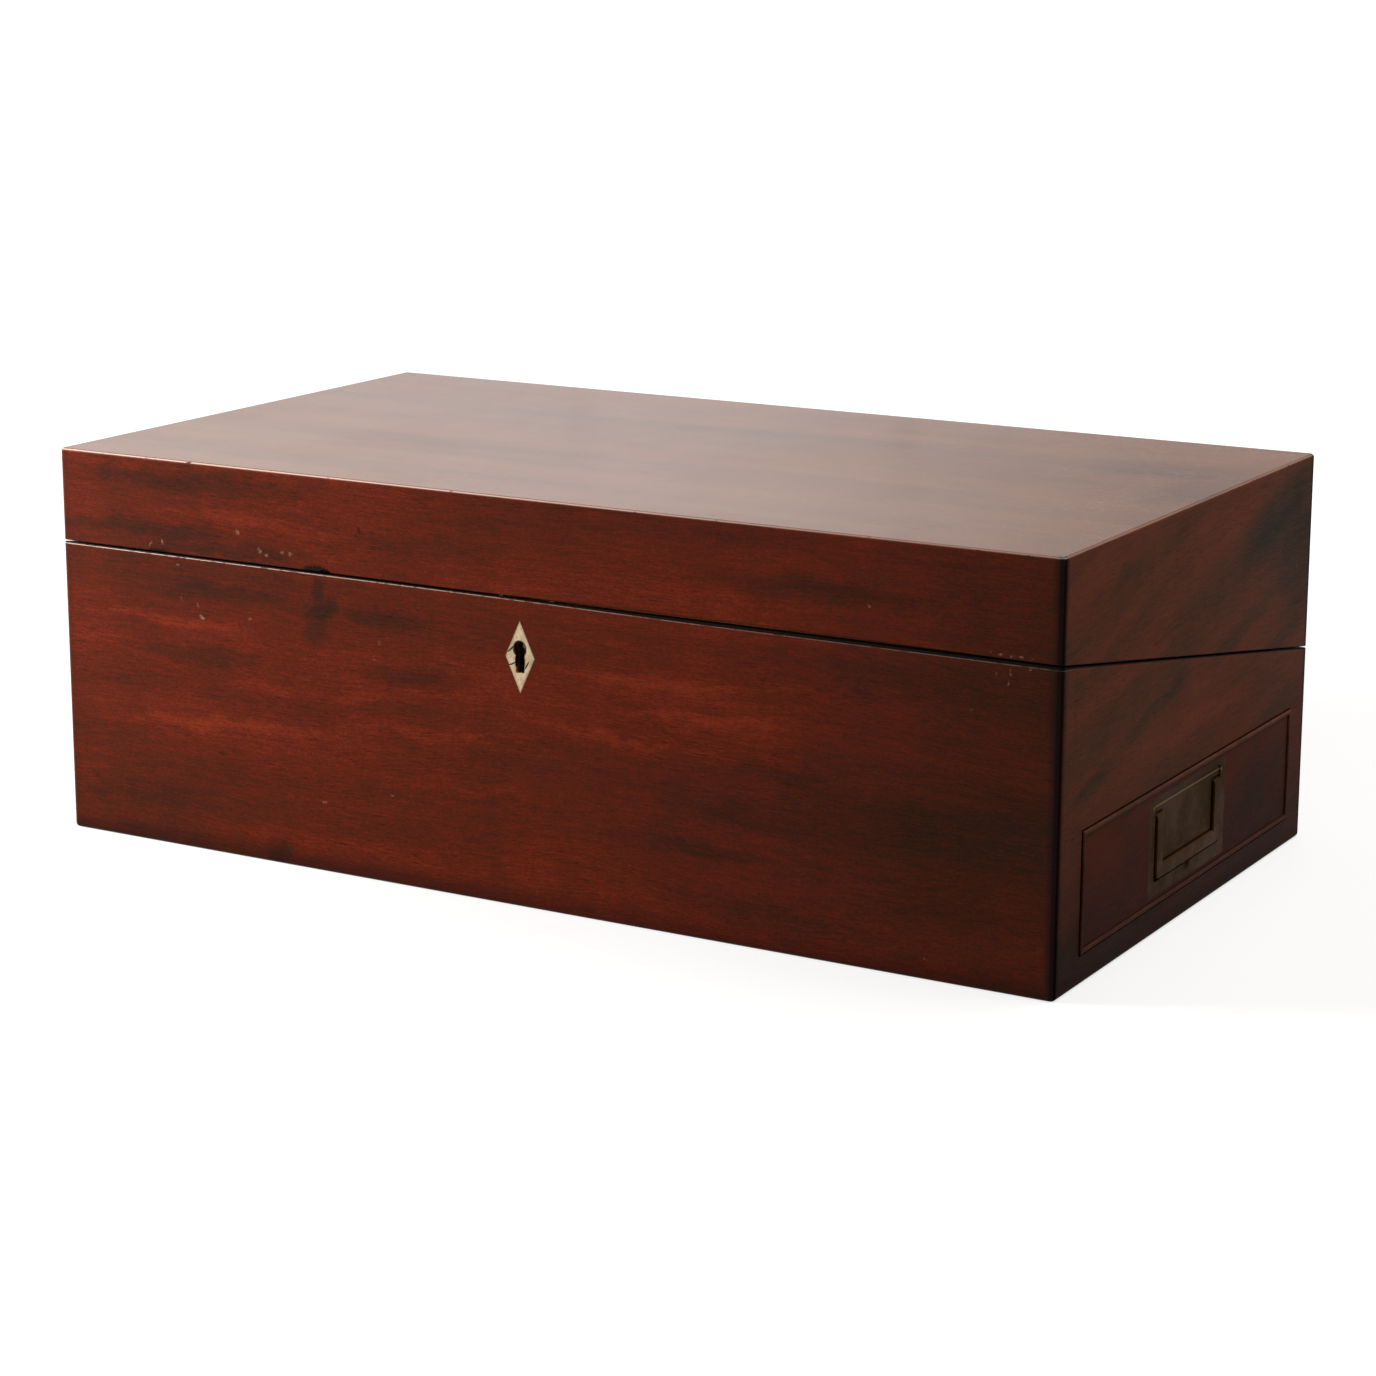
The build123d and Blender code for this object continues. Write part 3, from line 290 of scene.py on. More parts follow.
sideMarks = {
    "dark": ((95, 160, 70, 26, 12, 0.55), (125, 134, 60, 38, 12, 0.60), (75, 40, 45, 24, 4, 0.30), (-40, 101, 55, 6, 12, 0.45), (60, 116, 70, 8, 12, 0.40), (-105, 84, 30, 6, 12, 0.40),
             (-90, 160, 50, 7, 10, 0.30), (110, 104, 34, 8, 10, 0.35)),
    "pale": ((-60, 120, 60, 5, 12, 0.30), (-110, 160, 50, 20, 12, 0.35), (-88, 42, 34, 20, 4, 0.45), (10, 84, 70, 8, 6, 0.45), (-85, 140, 45, 6, 12, 0.25)),
    "dent": ((120, 131, 0.6, 1.6, 10, 0.5), (-128, 96, 0.6, 1.4, 0, 0.4), (72, 63.6, 2.2, 0.7, 8, 0.5)),
    "black": ((77, 64.0, 2.6, 0.8, 6, 0.6), (-60, 62.8, 1.8, 0.5, 0, 0.4)),
}


# The grain wanders: across' = across + sway * n, n a slow noise, and the bands lean by tilt * along as well. The tone is
# 0.5 + sum of weight * (noise - 0.5), each noise being one of (along, across', through) drawn out along the grain.
def grainTone(tree, along, across, through, seed, tilt):
    slow = noiseOf(tree, joined(tree, along, across, through), (3.0, 6.5, 3.0), 2.0, 0.5, (seed, 2.1, 0.4))
    bent = calc(tree, "MULTIPLY_ADD", slow, mahogany["sway"], across)
    level = joined(tree, along, bent, through)
    leaning = joined(tree, along, calc(tree, "MULTIPLY_ADD", along, -tilt, bent), through) if tilt else level
    tone = 0.5
    shift = seed
    ridges = {}
    for key in ("bands", "clouds", "streaks", "flecks", "fibres", "speckle", "mottle"):
        scale, detail, weight = mahogany[key]
        place = leaning if key in ("bands", "clouds", "streaks") else level
        noise = noiseOf(tree, place, scale, detail, 0.55, (shift, 0.7 * shift, 0.3 * shift))
        tone = calc(tree, "MULTIPLY_ADD", calc(tree, "SUBTRACT", noise, 0.5), weight, tone)
        ridges[key] = noise
        shift += 1.7
    pore = noiseOf(tree, level, mahogany["pores"], 1.0, 0.5, (seed, 9.0, 0.0))
    patch = noiseOf(tree, level, (12.0, 40.0, 12.0), 2.0, 0.5, (seed, 4.0, 0.0))
    pores = times(tree, fade(tree, pore, 0.60, 0.72), fade(tree, patch, 0.38, 0.60, 0.25, 1.0))
    return tone, pores, calc(tree, "MULTIPLY_ADD", pores, -1.0, times(tree, ridges["fibres"], 0.5))


# Wear, painted shade and painted highlights of the outside, and how much of it is skin: 1 on the outer faces, 0 within.
# a, b, c are the distances to the side, front or back, and top or bottom planes of the closed box.
# On a face the smallest is 0, so the distance along the skin to the nearest arris is the middle one of the three.
def outsideWearAndShading(tree, coords, x, y, z, color):
    a = calc(tree, "SUBTRACT", box["halfWidth"], calc(tree, "ABSOLUTE", x))
    b = calc(tree, "SUBTRACT", box["halfDepth"], calc(tree, "ABSOLUTE", y))
    top = calc(tree, "SUBTRACT", box["height"], z)
    post = most(tree, a, b)
    depth = least(tree, a, b)
    edge = most(tree, depth, least(tree, post, least(tree, z, top)))
    skin = fade(tree, least(tree, depth, least(tree, z, top)), 0.6 * mm, 1.4 * mm, 1.0, 0.0)
    nick = noiseOf(tree, coords, (170.0, 170.0, 170.0), 3.0, 0.7)
    slow = noiseOf(tree, coords, (9.0, 30.0, 30.0), 2.0)
    # painted shade darkens the upright corners, most of all the right ones, and the foot
    reach = calc(tree, "MULTIPLY_ADD", slow, 6.0 * mm, 3.0 * mm)
    right = fade(tree, x, -0.10, 0.20, 0.25, 1.0)
    corner = times(tree, fade(tree, calc(tree, "DIVIDE", post, reach), 0.20, 1.0, 0.92, 0.0), right)
    foot = fade(tree, z, 0.5 * mm, 12.0 * mm, 0.55, 0.0)
    color = tint(tree, most(tree, corner, foot), color, mahogany["grimeAndShade"])
    # a painted highlight as a pale line on the arrises, broken by nicks, strongest along the top front edge and its
    # left end, where the light catches
    rubAndHighlight = times(tree, fade(tree, edge, 0.3 * mm, 0.95 * mm, 1.0, 0.0), fade(tree, nick, 0.28, 0.40))
    highlightStrength = times(tree, fade(tree, x, -0.12, 0.22, 1.0, 0.30), fade(tree, top, 1.5 * mm, 4.0 * mm, 1.0, 0.10))
    color = tint(tree, times(tree, rubAndHighlight, highlightStrength), color, mahogany["wornEdgeAndHighlight"])
    # the parting line: painted shade in the gap, wider to the right where the lid's edge has shrunk, and a painted
    # highlight as a pale hairline below it
    gap = calc(tree, "ADD", calc(tree, "SUBTRACT", z, box["splitFront"]),
               times(tree, calc(tree, "ADD", y, box["halfDepth"]), box["splitFall"]))
    front = fade(tree, y, -0.139, -0.125, 1.0, 0.15)
    shrunk = times(tree, fade(tree, x, -0.02, 0.10), front)
    hairHighlight = calc(tree, "ABSOLUTE", calc(tree, "ADD", gap, calc(tree, "MULTIPLY_ADD", shrunk, 0.55 * mm, 0.80 * mm)))
    hairHighlight = times(tree, fade(tree, hairHighlight, 0.08 * mm, 0.32 * mm, 1.0, 0.0), times(tree, skin, fade(tree, nick, 0.36, 0.52, 0.25, 1.0)))
    hairHighlight = times(tree, hairHighlight, times(tree, fade(tree, x, -0.26, 0.16, 0.85, 0.14), front))
    color = tint(tree, hairHighlight, color, mahogany["wornEdgeAndHighlight"])
    gapShade = calc(tree, "ABSOLUTE", calc(tree, "ADD", gap, 0.12 * mm))
    gapShade = fade(tree, calc(tree, "MULTIPLY_ADD", shrunk, -0.60 * mm, gapShade), 0.22 * mm, 0.62 * mm, 1.0, 0.0)
    gapShade = times(tree, gapShade, fade(tree, depth, 2.0 * mm, 4.0 * mm, 1.0, 0.0))
    return tint(tree, gapShade, color, mahogany["gapShadeColor"]), most(tree, skin, gapShade)


# A mahogany board whose grain runs the way its face does; marks and wear are only for the outside
def makeWood(name, grain, seed, look, tilt=0.0, marks=None, worn=False, low=0.0, crown=None):
    material, tree = startMaterial(name)
    coords, (x, y, z) = parted(tree)
    along, across, through = {"front": (x, z, y), "side": (y, z, x), "top": (x, y, z), "deep": (y, x, z)}[grain]
    tone, pores, height = grainTone(tree, along, across, through, seed, tilt)
    contrast = look.get("contrast", 1.0)
    tone = calc(tree, "MULTIPLY_ADD", tone, contrast, 0.5 - 0.5 * contrast)
    face = joined(tree, along, across)
    if marks:
        soft = frayed(tree, face, 16.0 * mm, 45.0)
        tone = calc(tree, "MULTIPLY_ADD", marksOn(tree, soft, marks["dark"], 0.25), 0.42, tone)
        tone = calc(tree, "SUBTRACT", tone, times(tree, marksOn(tree, soft, marks["pale"], 0.2), 0.45))
    color = ramp(tree, tone, look["ramp"])
    color = tint(tree, times(tree, pores, 0.5), color, mahogany["grimeAndShade"])
    if marks:
        sharp = frayed(tree, face, 2.4 * mm, 1100.0)
        crumbs = noiseOf(tree, coords, (1500.0, 1500.0, 1500.0), 2.0)
        dents = times(tree, marksOn(tree, sharp, marks["dent"], 0.35), fade(tree, crumbs, 0.40, 0.56, 0.15, 1.0))
        color = tint(tree, times(tree, dents, 0.8), color, mahogany["dent"])
    if crown:  # painted highlight along the crown of the upper bead, painted shade down its sides and on the lower beads
        paintedHighlight = times(tree, fade(tree, x, crown - 0.8 * mm, crown - 0.2 * mm, 0.0, 0.85), fade(tree, z, 0.050, 0.063, 0.55, 1.0))
        color = tint(tree, paintedHighlight, mahogany["grimeAndShade"], color)
    # painted shade: darker towards the bottom, fading out at 105 mm
    if low:
        color = tint(tree, fade(tree, z, 0.0, 105 * mm, low, 0.0), color, mahogany["grimeAndShade"])
    cloud = noiseOf(tree, coords, (14.0, 14.0, 14.0), 3.0)
    roughness = calc(tree, "MULTIPLY_ADD", cloud, 0.20, look["roughness"] - 0.10)
    if worn:  # the faces that look inwards are plain wood without polish
        # outside wear, with painted shade and painted highlights on the outer faces
        color, skin = outsideWearAndShading(tree, coords, x, y, z, color)
        color = tint(tree, skin, ramp(tree, tone, inside["ramp"]), color)
        roughness = fade(tree, skin, 0.0, 1.0, inside["roughness"], roughness)
    # black marks: dark gouges, and on the front painted shade inside the keyhole
    if marks:
        color = tint(tree, marksOn(tree, sharp, marks["black"], 0.6), color, mahogany["grimeAndShade"])
    finish(tree, color, roughness, look["fixed"], raised(tree, height, mahogany["bump"], 0.15 * mm))
    return material


dress(makeWood("frontMahogany", "front", 3.7, polished, 0.0, frontMarks, True), "front_wall", "lid_front")
dress(makeWood("backMahogany", "front", 21.3, polished, 0.02, None, True), "back_wall", "lid_back")
dress(makeWood("rightMahogany", "side", 8.2, sidePolishedAndSheen, 0.22, sideMarks, True, 0.68), "right_wall", "lid_right", "right_bottom_rail")
dress(makeWood("leftMahogany", "side", 14.6, leftPolished, -0.16, None, True), "left_wall", "lid_left")
dress(makeWood("topMahogany", "top", 5.1, topPolished, 0.0, topMarks, True), "lid_top")
dress(makeWood("drawerMahogany", "side", 31.0, drawerPolishedAndSheen, 0.30, sideMarks, False, 0.68), "drawer_front")
dress(makeWood("beadMahogany", "side", 35.0, beadPolished, 0.0, None, False, 0.0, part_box("drawer_bead")[1].x), "drawer_bead")
print("polished mahogany done")

dress(makeWood("innerMahogany", "top", 41.0, inside), "bottom_board", "drawer_deck", "pen_partition", "pen_tray",
      "base_flap_ledges", "lid_flap_ledges", "upper_flap_board", "lower_flap_board", "drawer_guide_front", "drawer_guide_back")
dress(makeWood("shortMahogany", "deep", 47.0, inside), "bay_dividers", "tray_bearers", "drawer_stop")
dress(makeWood("liningWood", "top", 53.0, lining), "drawer_side_front", "drawer_side_back", "drawer_bottom")
dress(makeWood("liningBack", "deep", 59.0, lining), "drawer_back")
print("inner wood done")

# Brass: clean metal under a brown green patina that thins where it is touched
oldBrass = {
    "panMargin": 4.25,  # from the plate's edge to its sunk pan, mm
    # colour of the painted highlight along the pan's top rim
    "paintedHighlight": shown(168, 140, 100),
    "plate": {"metal": shown(79, 49, 22), "patina": shown(56, 38, 17), "metallic": 0.03, "roughness": 0.50, "cover": 0.55},
    "bail": {"metal": shown(84, 53, 22), "patina": shown(60, 39, 16), "metallic": 0.04, "roughness": 0.48, "cover": 0.45},
    "fitting": {"metal": shown(190, 158, 104), "patina": shown(104, 82, 50), "metallic": 0.85, "roughness": 0.38, "cover": 0.45},
    "screw": {"metal": shown(176, 146, 98), "patina": shown(88, 68, 42), "metallic": 0.80, "roughness": 0.42, "cover": 0.50},
}


def makeBrass(name, look, panOf=None, bailOf=None):
    material, tree = startMaterial(name)
    coords, axes = parted(tree)
    blotch = noiseOf(tree, coords, (42.0, 42.0, 42.0), 4.0, 0.6)
    specks = noiseOf(tree, coords, (520.0, 520.0, 520.0), 3.0, 0.6)
    lines = noiseOf(tree, coords, (60.0, 90.0, 1500.0), 2.0)
    cover = fade(tree, calc(tree, "MULTIPLY_ADD", specks, 0.35, blotch), 0.50, 0.82, look["cover"] - 0.35, look["cover"] + 0.40)
    color = tint(tree, cover, look["metal"], look["patina"])
    color = tint(tree, fade(tree, specks, 0.60, 0.72, 0.0, 0.55), color, shown(34, 26, 18))
    if panOf:  # the pan's rim: painted highlight along the top, painted shade along the sides and the foot; the plate's own rim dark
        low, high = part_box(panOf)
        middle, half = (low + high) / 2, (high - low) / 2
        acrossGap = calc(tree, "SUBTRACT", half.y, calc(tree, "ABSOLUTE", calc(tree, "SUBTRACT", axes[1], middle.y)))
        tallGap = calc(tree, "SUBTRACT", half.z, calc(tree, "ABSOLUTE", calc(tree, "SUBTRACT", axes[2], middle.z)))
        gap = least(tree, acrossGap, tallGap)
        rim = fade(tree, calc(tree, "ABSOLUTE", calc(tree, "SUBTRACT", gap, oldBrass["panMargin"] * mm)), 0.25 * mm, 0.55 * mm, 1.0, 0.0)
        above = fade(tree, axes[2], high.z - 6 * mm, high.z - 5 * mm)
        color = tint(tree, times(tree, rim, 0.15), color, shown(26, 20, 14))
        color = tint(tree, times(tree, times(tree, rim, above), 0.6), color, oldBrass["paintedHighlight"])
        color = tint(tree, fade(tree, gap, 0.2 * mm, 0.6 * mm, 0.3, 0.0), color, shown(26, 20, 14))
    if bailOf:  # painted shade low on the bail's sides, where it meets the plate
        face = max(abs(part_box(bailOf)[0].x), abs(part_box(bailOf)[1].x))
        deep = calc(tree, "SUBTRACT", face, calc(tree, "ABSOLUTE", axes[0]))
        color = tint(tree, fade(tree, deep, 0.4 * mm, 1.3 * mm, 0.0, 0.8), color, shown(26, 20, 14))
    roughness = calc(tree, "MULTIPLY_ADD", cover, 0.22, look["roughness"] - 0.08)
    height = calc(tree, "MULTIPLY_ADD", specks, 0.6, times(tree, lines, 0.5))
    finish(tree, color, roughness, {"Metallic": look["metallic"], "Specular IOR Level": 0.02}, raised(tree, height, 0.18, 0.08 * mm))
    return material


dress(makeBrass("drawerPlateBrass", oldBrass["plate"], "drawer_handle_plate"), "drawer_handle_plate")
dress(makeBrass("leftPlateBrass", oldBrass["plate"], "left_handle_plate"), "left_handle_plate")
dress(makeBrass("bailBrass", oldBrass["bail"], None, "drawer_bail"), "drawer_bail", "left_bail")
dress(makeBrass("fittingBrass", oldBrass["fitting"]), "base_hinge_leaves", "lid_hinge_leaves", "upper_flap_wall_leaves",
      "lower_flap_wall_leaves", "upper_flap_hinge_leaves", "lower_flap_hinge_leaves", "lock_plate", "link_plate", "lock_bolt",
      "ink_cap_left", "ink_cap_right", "lock_case")
dress(makeBrass("screwBrass", oldBrass["screw"]), "base_short_screws", "base_hinge_screws", "lid_screws", "drawer_handle_screws")
print("brass done")

pinSteel = {"bright": shown(150, 147, 142), "brown": shown(86, 70, 56), "roughness": 0.42}


def makeSteel():
    material, tree = startMaterial("pinSteel")
    coords, axes = parted(tree)
    stain = noiseOf(tree, coords, (160.0, 160.0, 160.0), 4.0, 0.6)
    rust = fade(tree, stain, 0.50, 0.68)
    color = tint(tree, rust, pinSteel["bright"], pinSteel["brown"])
    roughness = calc(tree, "MULTIPLY_ADD", rust, 0.25, pinSteel["roughness"])
    finish(tree, color, roughness, {"Metallic": 0.85}, raised(tree, stain, 0.2, 0.05 * mm))
    return material


dress(makeSteel(), "main_hinge_pins", "upper_flap_pins", "lower_flap_pins", "lock_key_pin")

# Leather of the writing flaps: fine goat grain, a gilt double line round the edge, ink and wear in the middle
deskLeather = {
    "deep": shown(30, 58, 42),
    "pale": shown(50, 78, 56),
    "worn": shown(96, 94, 66),
    "gilt": shown(176, 140, 74),
    "ink": shown(14, 16, 20),
    "lines": ((9.0, 0.55), (11.2, 0.25)),  # distance from the leather's edge and half width, mm
    "roughness": 0.52,
}


def makeLeather(name, node, blots):
    material, tree = startMaterial(name)
    coords, (x, y, z) = parted(tree)
    low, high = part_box(node)
    slope = math.hypot(1.0, (high.z - low.z) / (high.y - low.y))
    sideGap = calc(tree, "SUBTRACT", high.x, calc(tree, "ABSOLUTE", x))
    endGap = least(tree, calc(tree, "SUBTRACT", y, low.y), calc(tree, "SUBTRACT", high.y, y))
    gap = least(tree, sideGap, times(tree, endGap, slope))
    cells = put(tree, "ShaderNodeTexVoronoi", {"feature": "DISTANCE_TO_EDGE"}, Vector=coords, Scale=1150.0).outputs["Distance"]
    grain = fade(tree, cells, 0.0, 0.28)
    blotch = noiseOf(tree, coords, (16.0, 22.0, 22.0), 4.0, 0.6)
    fine = noiseOf(tree, coords, (420.0, 420.0, 420.0), 3.0, 0.6)
    color = tint(tree, fade(tree, blotch, 0.30, 0.74, 0.0, 0.8), deskLeather["deep"], deskLeather["pale"])
    worn = times(tree, fade(tree, gap, 14 * mm, 90 * mm), fade(tree, calc(tree, "MULTIPLY_ADD", fine, 0.5, blotch), 0.68, 1.00))
    color = tint(tree, times(tree, worn, 0.40), color, deskLeather["worn"])
    color = tint(tree, fade(tree, grain, 0.0, 0.6, 0.45, 0.0), color, shown(14, 28, 20))
    ink = marksOn(tree, frayed(tree, joined(tree, x, y), 9 * mm, 90.0), blots, 0.6)
    color = tint(tree, ink, color, deskLeather["ink"])
    gilt = 0.0
    for place, half in deskLeather["lines"]:
        away = calc(tree, "ABSOLUTE", calc(tree, "SUBTRACT", gap, place * mm))
        gilt = most(tree, fade(tree, away, half * mm, (half + 0.25) * mm, 1.0, 0.0), gilt)
    left = times(tree, gilt, fade(tree, fine, 0.38, 0.55, 0.25, 1.0))
    color = tint(tree, left, color, deskLeather["gilt"])
    height = calc(tree, "MULTIPLY_ADD", gilt, -1.2, times(tree, grain, 0.5))
    roughness = calc(tree, "MULTIPLY_ADD", left, -0.18, deskLeather["roughness"])
    finish(tree, color, roughness, {"Specular IOR Level": 0.25}, raised(tree, height, 0.35, 0.2 * mm))
    return material


upperBlots = ((-60, 40, 6, 5, 0, 0.9), (-52, 33, 2, 2, 0, 0.8), (110, -20, 3, 3, 0, 0.7))
lowerBlots = ((90, -30, 9, 7, 30, 0.85), (101, -22, 2.5, 2, 0, 0.8), (-40, 20, 3, 4, 0, 0.7), (30, -70, 2, 2, 0, 0.6))
dress(makeLeather("upperLeather", "upper_flap_leather", upperBlots), "upper_flap_leather", "upper_flap_tab")
dress(makeLeather("lowerLeather", "lower_flap_leather", lowerBlots), "lower_flap_leather", "lower_flap_tab")

inkGlass = {"clear": (0.90, 0.95, 0.93), "ink": shown(18, 20, 34), "floor": 9.0}  # ink dried below this height over the well's foot, mm


def makeGlass():
    material, tree = startMaterial("inkGlass")
    coords, (x, y, z) = parted(tree)
    low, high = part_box("inkwell_left")
    ripple = noiseOf(tree, coords, (120.0, 120.0, 120.0), 2.0)
    stain = fade(tree, calc(tree, "MULTIPLY_ADD", ripple, 3.0 * mm, z), low.z + 4.0 * mm, low.z + inkGlass["floor"] * mm, 1.0, 0.0)
    color = tint(tree, times(tree, stain, 0.8), inkGlass["clear"], inkGlass["ink"])
    roughness = calc(tree, "MULTIPLY_ADD", ripple, 0.06, 0.01)
    finish(tree, color, roughness, {"Transmission Weight": 1.0, "IOR": 1.5}, raised(tree, ripple, 0.08, 0.3 * mm))
    return material


dress(makeGlass(), "inkwell_left", "inkwell_right")

# Bone lozenge: cream, browner at its rim, with dark cracks across it, painted shade along its edge and painted shade
# round the keyhole
bone = {
    "cream": shown(234, 210, 174),
    "brown": shown(172, 138, 102),
    "darkCrackAndShade": shown(26, 16, 12),
    # x, z, half length, half width, turn and strength: three cracks, then painted shade in black round the keyhole,
    # widening it
    "cracksAndHoleShade": ((-4.7, 114.2, 2.4, 0.40, 43, 0.95), (-3.9, 108.0, 2.5, 0.40, 27, 0.95), (3.4, 107.9, 2.3, 0.40, 60, 0.95),
               (-0.1, 114.7, 3.7, 4.1, 0, 1.0), (0.0, 109.4, 2.8, 5.4, 0, 1.0)),
}


def makeBone():
    material, tree = startMaterial("escutcheonBone")
    coords, (x, y, z) = parted(tree)
    low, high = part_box("escutcheon")
    middle = (low + high) / 2
    half = (high - low) / 2
    across = calc(tree, "DIVIDE", calc(tree, "ABSOLUTE", calc(tree, "SUBTRACT", x, middle.x)), half.x)
    tall = calc(tree, "DIVIDE", calc(tree, "ABSOLUTE", calc(tree, "SUBTRACT", z, middle.z)), half.z)
    rim = fade(tree, calc(tree, "ADD", across, tall), 0.78, 1.0)
    pits = noiseOf(tree, coords, (2600.0, 2600.0, 700.0), 2.0)
    cloud = noiseOf(tree, coords, (260.0, 260.0, 160.0), 3.0)
    color = tint(tree, times(tree, fade(tree, cloud, 0.38, 0.70), 0.55), bone["cream"], bone["brown"])
    color = tint(tree, times(tree, rim, 0.5), color, bone["brown"])
    color = tint(tree, fade(tree, pits, 0.60, 0.72, 0.0, 0.5), color, bone["darkCrackAndShade"])
    cracksAndHoleShade = marksOn(tree, frayed(tree, joined(tree, x, z), 0.5 * mm, 700.0), bone["cracksAndHoleShade"], 0.86)
    # the cracks, painted shade round the keyhole, and a painted shadow line along the lozenge's edge
    color = tint(tree, most(tree, cracksAndHoleShade, fade(tree, calc(tree, "ADD", across, tall), 0.93, 1.0, 0.0, 0.80)), color, bone["darkCrackAndShade"])
    roughness = calc(tree, "MULTIPLY_ADD", cloud, 0.2, 0.32)
    finish(tree, color, roughness, {"Specular IOR Level": 0.10}, raised(tree, calc(tree, "ADD", pits, cracksAndHoleShade), -0.2, 0.08 * mm))
    return material


dress(makeBone(), "escutcheon")
print("leather, glass, bone and steel done")

# Floor, light and camera
studio = {
    "floorNear": 0.69,                # what the camera sees of the floor round the box, beside its lamp light; dimmer than the far floor, painted shade that deepens the box's shadow
    "floorPale": (0.40, 0.40, 0.40),
    "floorDim": (0.10, 0.095, 0.09),  # what the floor throws back on the object
    "worldFill": 0.17,
    "keyPlace": Vector((-1.05, -0.62, 0.50)),
    "keyAim": Vector((-0.10, -0.139, 0.10)),
    "keySize": 0.45,
    "keyPower": 24.0,
    "skyPlace": Vector((0.55, 0.35, 1.40)),
    "skySize": 1.2,
    "skyPower": 16.0,
}


# 1 for camera, glossy and transmission rays, which see the white background, else 0
def seenDirectly(tree):
    rays = put(tree, "ShaderNodeLightPath").outputs
    either = most(tree, rays["Is Camera Ray"], rays["Is Glossy Ray"])
    return most(tree, either, rays["Is Transmission Ray"])


def makeFloor():
    bpy.ops.mesh.primitive_plane_add(size=60.0, location=(0, 0, 0))
    floor = bpy.context.object
    floor.name = "studioFloor"
    material, tree = startMaterial("studioFloorPaper")
    coords, (x, y, z) = parted(tree)
    away = put(tree, "ShaderNodeVectorMath", {"operation": "LENGTH"}, Vector=coords).outputs["Value"]
    pale = put(tree, "ShaderNodeBsdfDiffuse", None, Color=rgba(studio["floorPale"]))
    # the floor glows dimmer near the box: painted shade round it
    white = put(tree, "ShaderNodeEmission", None, Strength=fade(tree, away, 0.35, 1.1, studio["floorNear"], 1.0))
    both = put(tree, "ShaderNodeAddShader")
    tree.links.new(pale.outputs[0], both.inputs[0])
    tree.links.new(white.outputs[0], both.inputs[1])
    dim = put(tree, "ShaderNodeBsdfDiffuse", None, Color=rgba(studio["floorDim"]))
    mix = put(tree, "ShaderNodeMixShader", None, Fac=seenDirectly(tree))
    tree.links.new(dim.outputs[0], mix.inputs[1])
    tree.links.new(both.outputs[0], mix.inputs[2])
    out = tree.nodes.new("ShaderNodeOutputMaterial")
    tree.links.new(mix.outputs[0], out.inputs["Surface"])
    floor.data.materials.append(material)


# White to what sees it directly, a low even fill to everything else
def makeWorld():
    world = bpy.data.worlds.new("studioWorld")
    bpy.context.scene.world = world
    world.use_nodes = True
    tree = world.node_tree
    tree.nodes.clear()
    strength = fade(tree, seenDirectly(tree), 0.0, 1.0, studio["worldFill"], 1.0)
    back = put(tree, "ShaderNodeBackground", None, Strength=strength)
    out = tree.nodes.new("ShaderNodeOutputWorld")
    tree.links.new(back.outputs[0], out.inputs["Surface"])


# A glowing card behind the box, seen only in reflections, a painted reflection on the top: white at its left end, dim
# at its right
reflectionCard = {
    "left": -2.6, "right": 0.9, "low": 0.45, "high": 1.5, "far": 2.0,
    "fadeFrom": -1.30, "fadeTo": -0.32, "dim": 0.36, "color": (1.0, 0.99, 0.96),
    "darkBands": ((-1.30, 0.12), (-0.88, 0.19)),  # place and depth of two darker bands in the glow
}


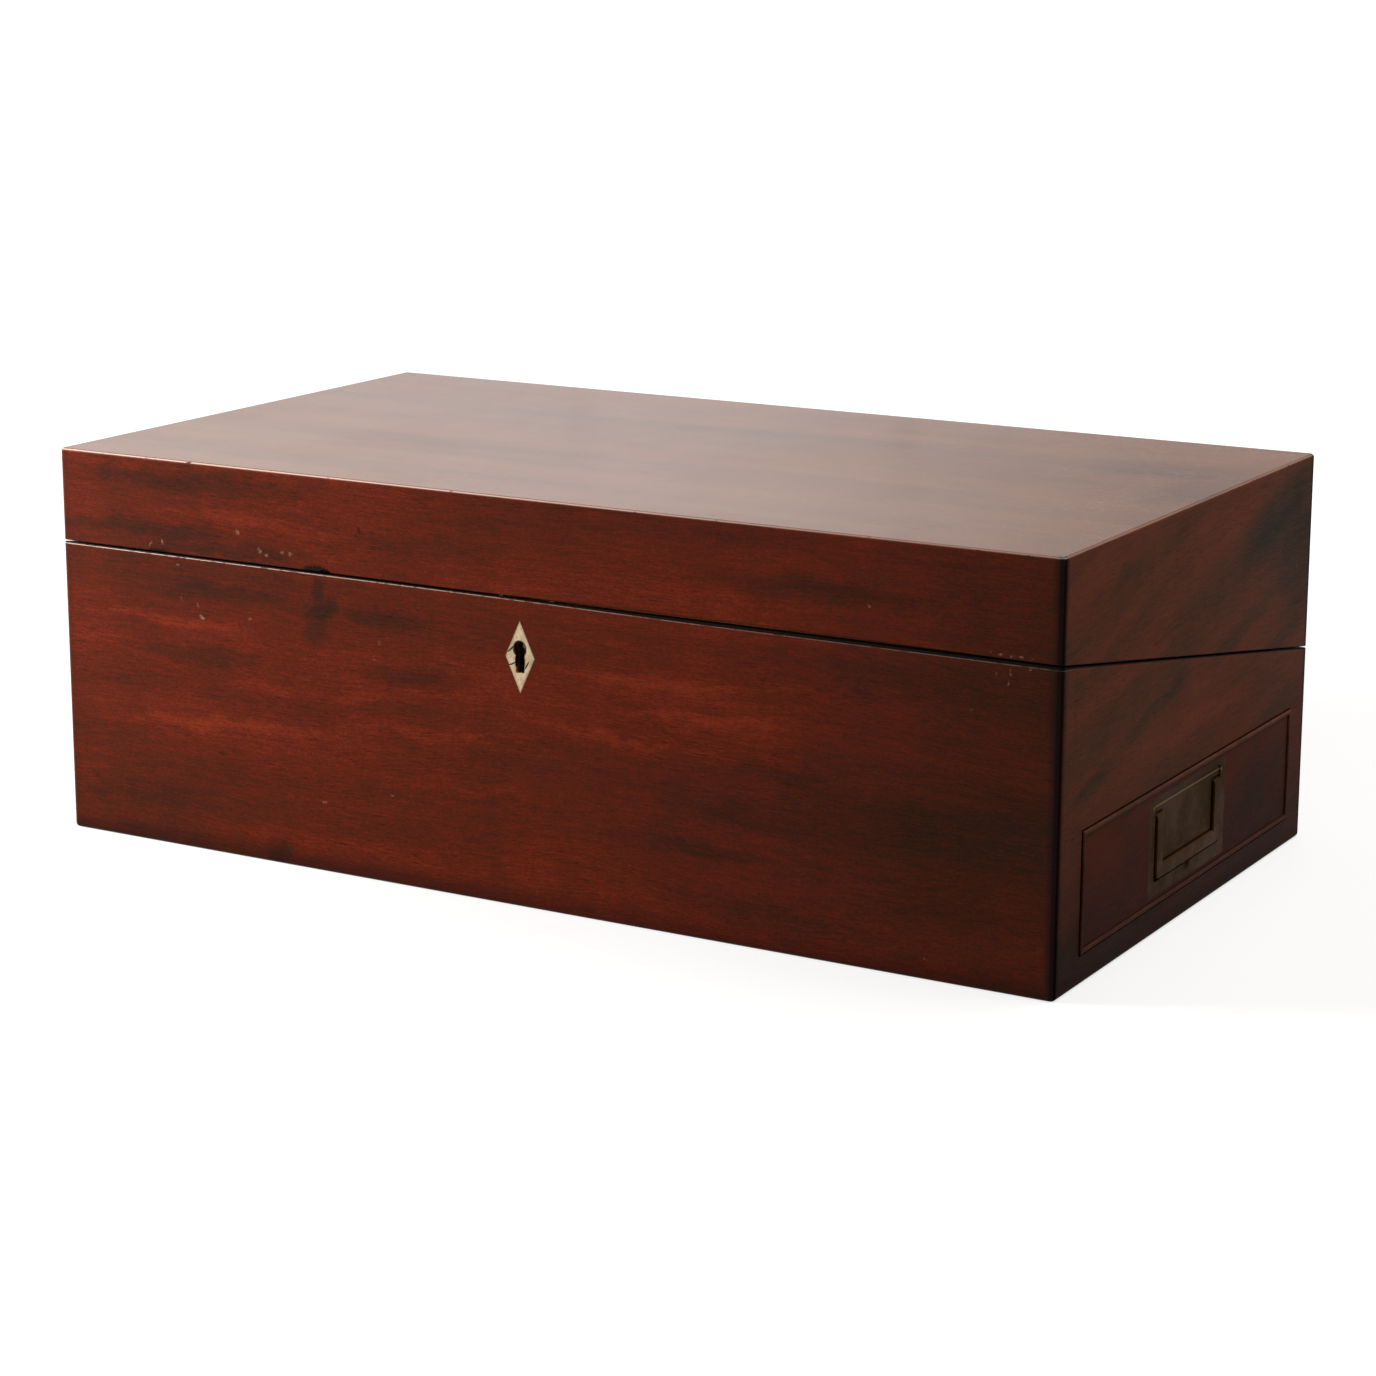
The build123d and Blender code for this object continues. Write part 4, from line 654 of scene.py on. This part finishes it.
def makeReflectionCard():
    mesh = bpy.data.meshes.new("studioReflectionCard")
    left, right, low, high, far = (reflectionCard[key] for key in ("left", "right", "low", "high", "far"))
    mesh.from_pydata([(left, far, low), (right, far, low), (right, far, high), (left, far, high)], [], [(0, 1, 2, 3)])
    card = bpy.data.objects.new("studioReflectionCard", mesh)
    bpy.context.collection.objects.link(card)
    material, tree = startMaterial("studioReflectionGlow")
    coords, (x, y, z) = parted(tree)
    # painted reflection: the card's glow, bright at the left, dim at the right, with two darker bands
    strength = fade(tree, x, reflectionCard["fadeFrom"], reflectionCard["fadeTo"], 1.0, reflectionCard["dim"])
    for place, depth in reflectionCard["darkBands"]:
        away = calc(tree, "ABSOLUTE", calc(tree, "SUBTRACT", x, place))
        darkBand = times(tree, fade(tree, away, 0.004, 0.026, depth, 0.0), fade(tree, z, 0.53, 0.64, 1.0, 0.0))
        strength = times(tree, strength, calc(tree, "SUBTRACT", 1.0, darkBand))
    strength = times(tree, strength, fade(tree, z, 0.46, 0.68, 0.82, 1.0))
    glow = put(tree, "ShaderNodeEmission", None, Color=rgba(reflectionCard["color"]), Strength=strength)
    out = tree.nodes.new("ShaderNodeOutputMaterial")
    tree.links.new(glow.outputs[0], out.inputs["Surface"])
    mesh.materials.append(material)
    for name in ("visible_camera", "visible_diffuse", "visible_shadow"):
        setattr(card, name, False)


def makeLamp(name, place, aim, size, power, color=(1.0, 0.97, 0.93)):
    data = bpy.data.lights.new(name, "AREA")
    data.shape = "SQUARE"
    data.size = size
    data.energy = power
    data.color = color
    lamp = bpy.data.objects.new(name, data)
    bpy.context.collection.objects.link(lamp)
    lamp.location = place
    lamp.rotation_euler = (aim - place).to_track_quat("-Z", "Y").to_euler()


camera = {
    "place": Vector((0.7622, -1.3134, 0.4379)),  # metres, from the corners of the box in the photograph
    "azimuth": 30.618,
    "elevation": 12.987,
    "focalPixels": 3377.8,
    "centrePixels": (655.9, 647.9),
}


# Looks along the solved azimuth and elevation; lens = focal length in pixels * 36 / side
def makeCamera():
    data = bpy.data.cameras.new("photoCamera")
    data.sensor_width = 36.0
    data.lens = camera["focalPixels"] * data.sensor_width / photoSide
    data.shift_x = (photoSide / 2 - camera["centrePixels"][0]) / photoSide
    data.shift_y = (camera["centrePixels"][1] - photoSide / 2) / photoSide
    data.clip_start = 0.02
    eye = bpy.data.objects.new("photoCamera", data)
    bpy.context.collection.objects.link(eye)
    eye.location = camera["place"]
    eye.rotation_euler = Euler((math.radians(90 - camera["elevation"]), 0.0, math.radians(camera["azimuth"])))
    bpy.context.scene.camera = eye


makeFloor()
makeWorld()
makeReflectionCard()
makeLamp("keyLamp", studio["keyPlace"], studio["keyAim"], studio["keySize"], studio["keyPower"])
makeLamp("skyLamp", studio["skyPlace"], Vector((0.0, 0.0, 0.18)), studio["skySize"], studio["skyPower"])
makeCamera()
bpy.context.scene.view_settings.view_transform = "Standard"
print("studio done")
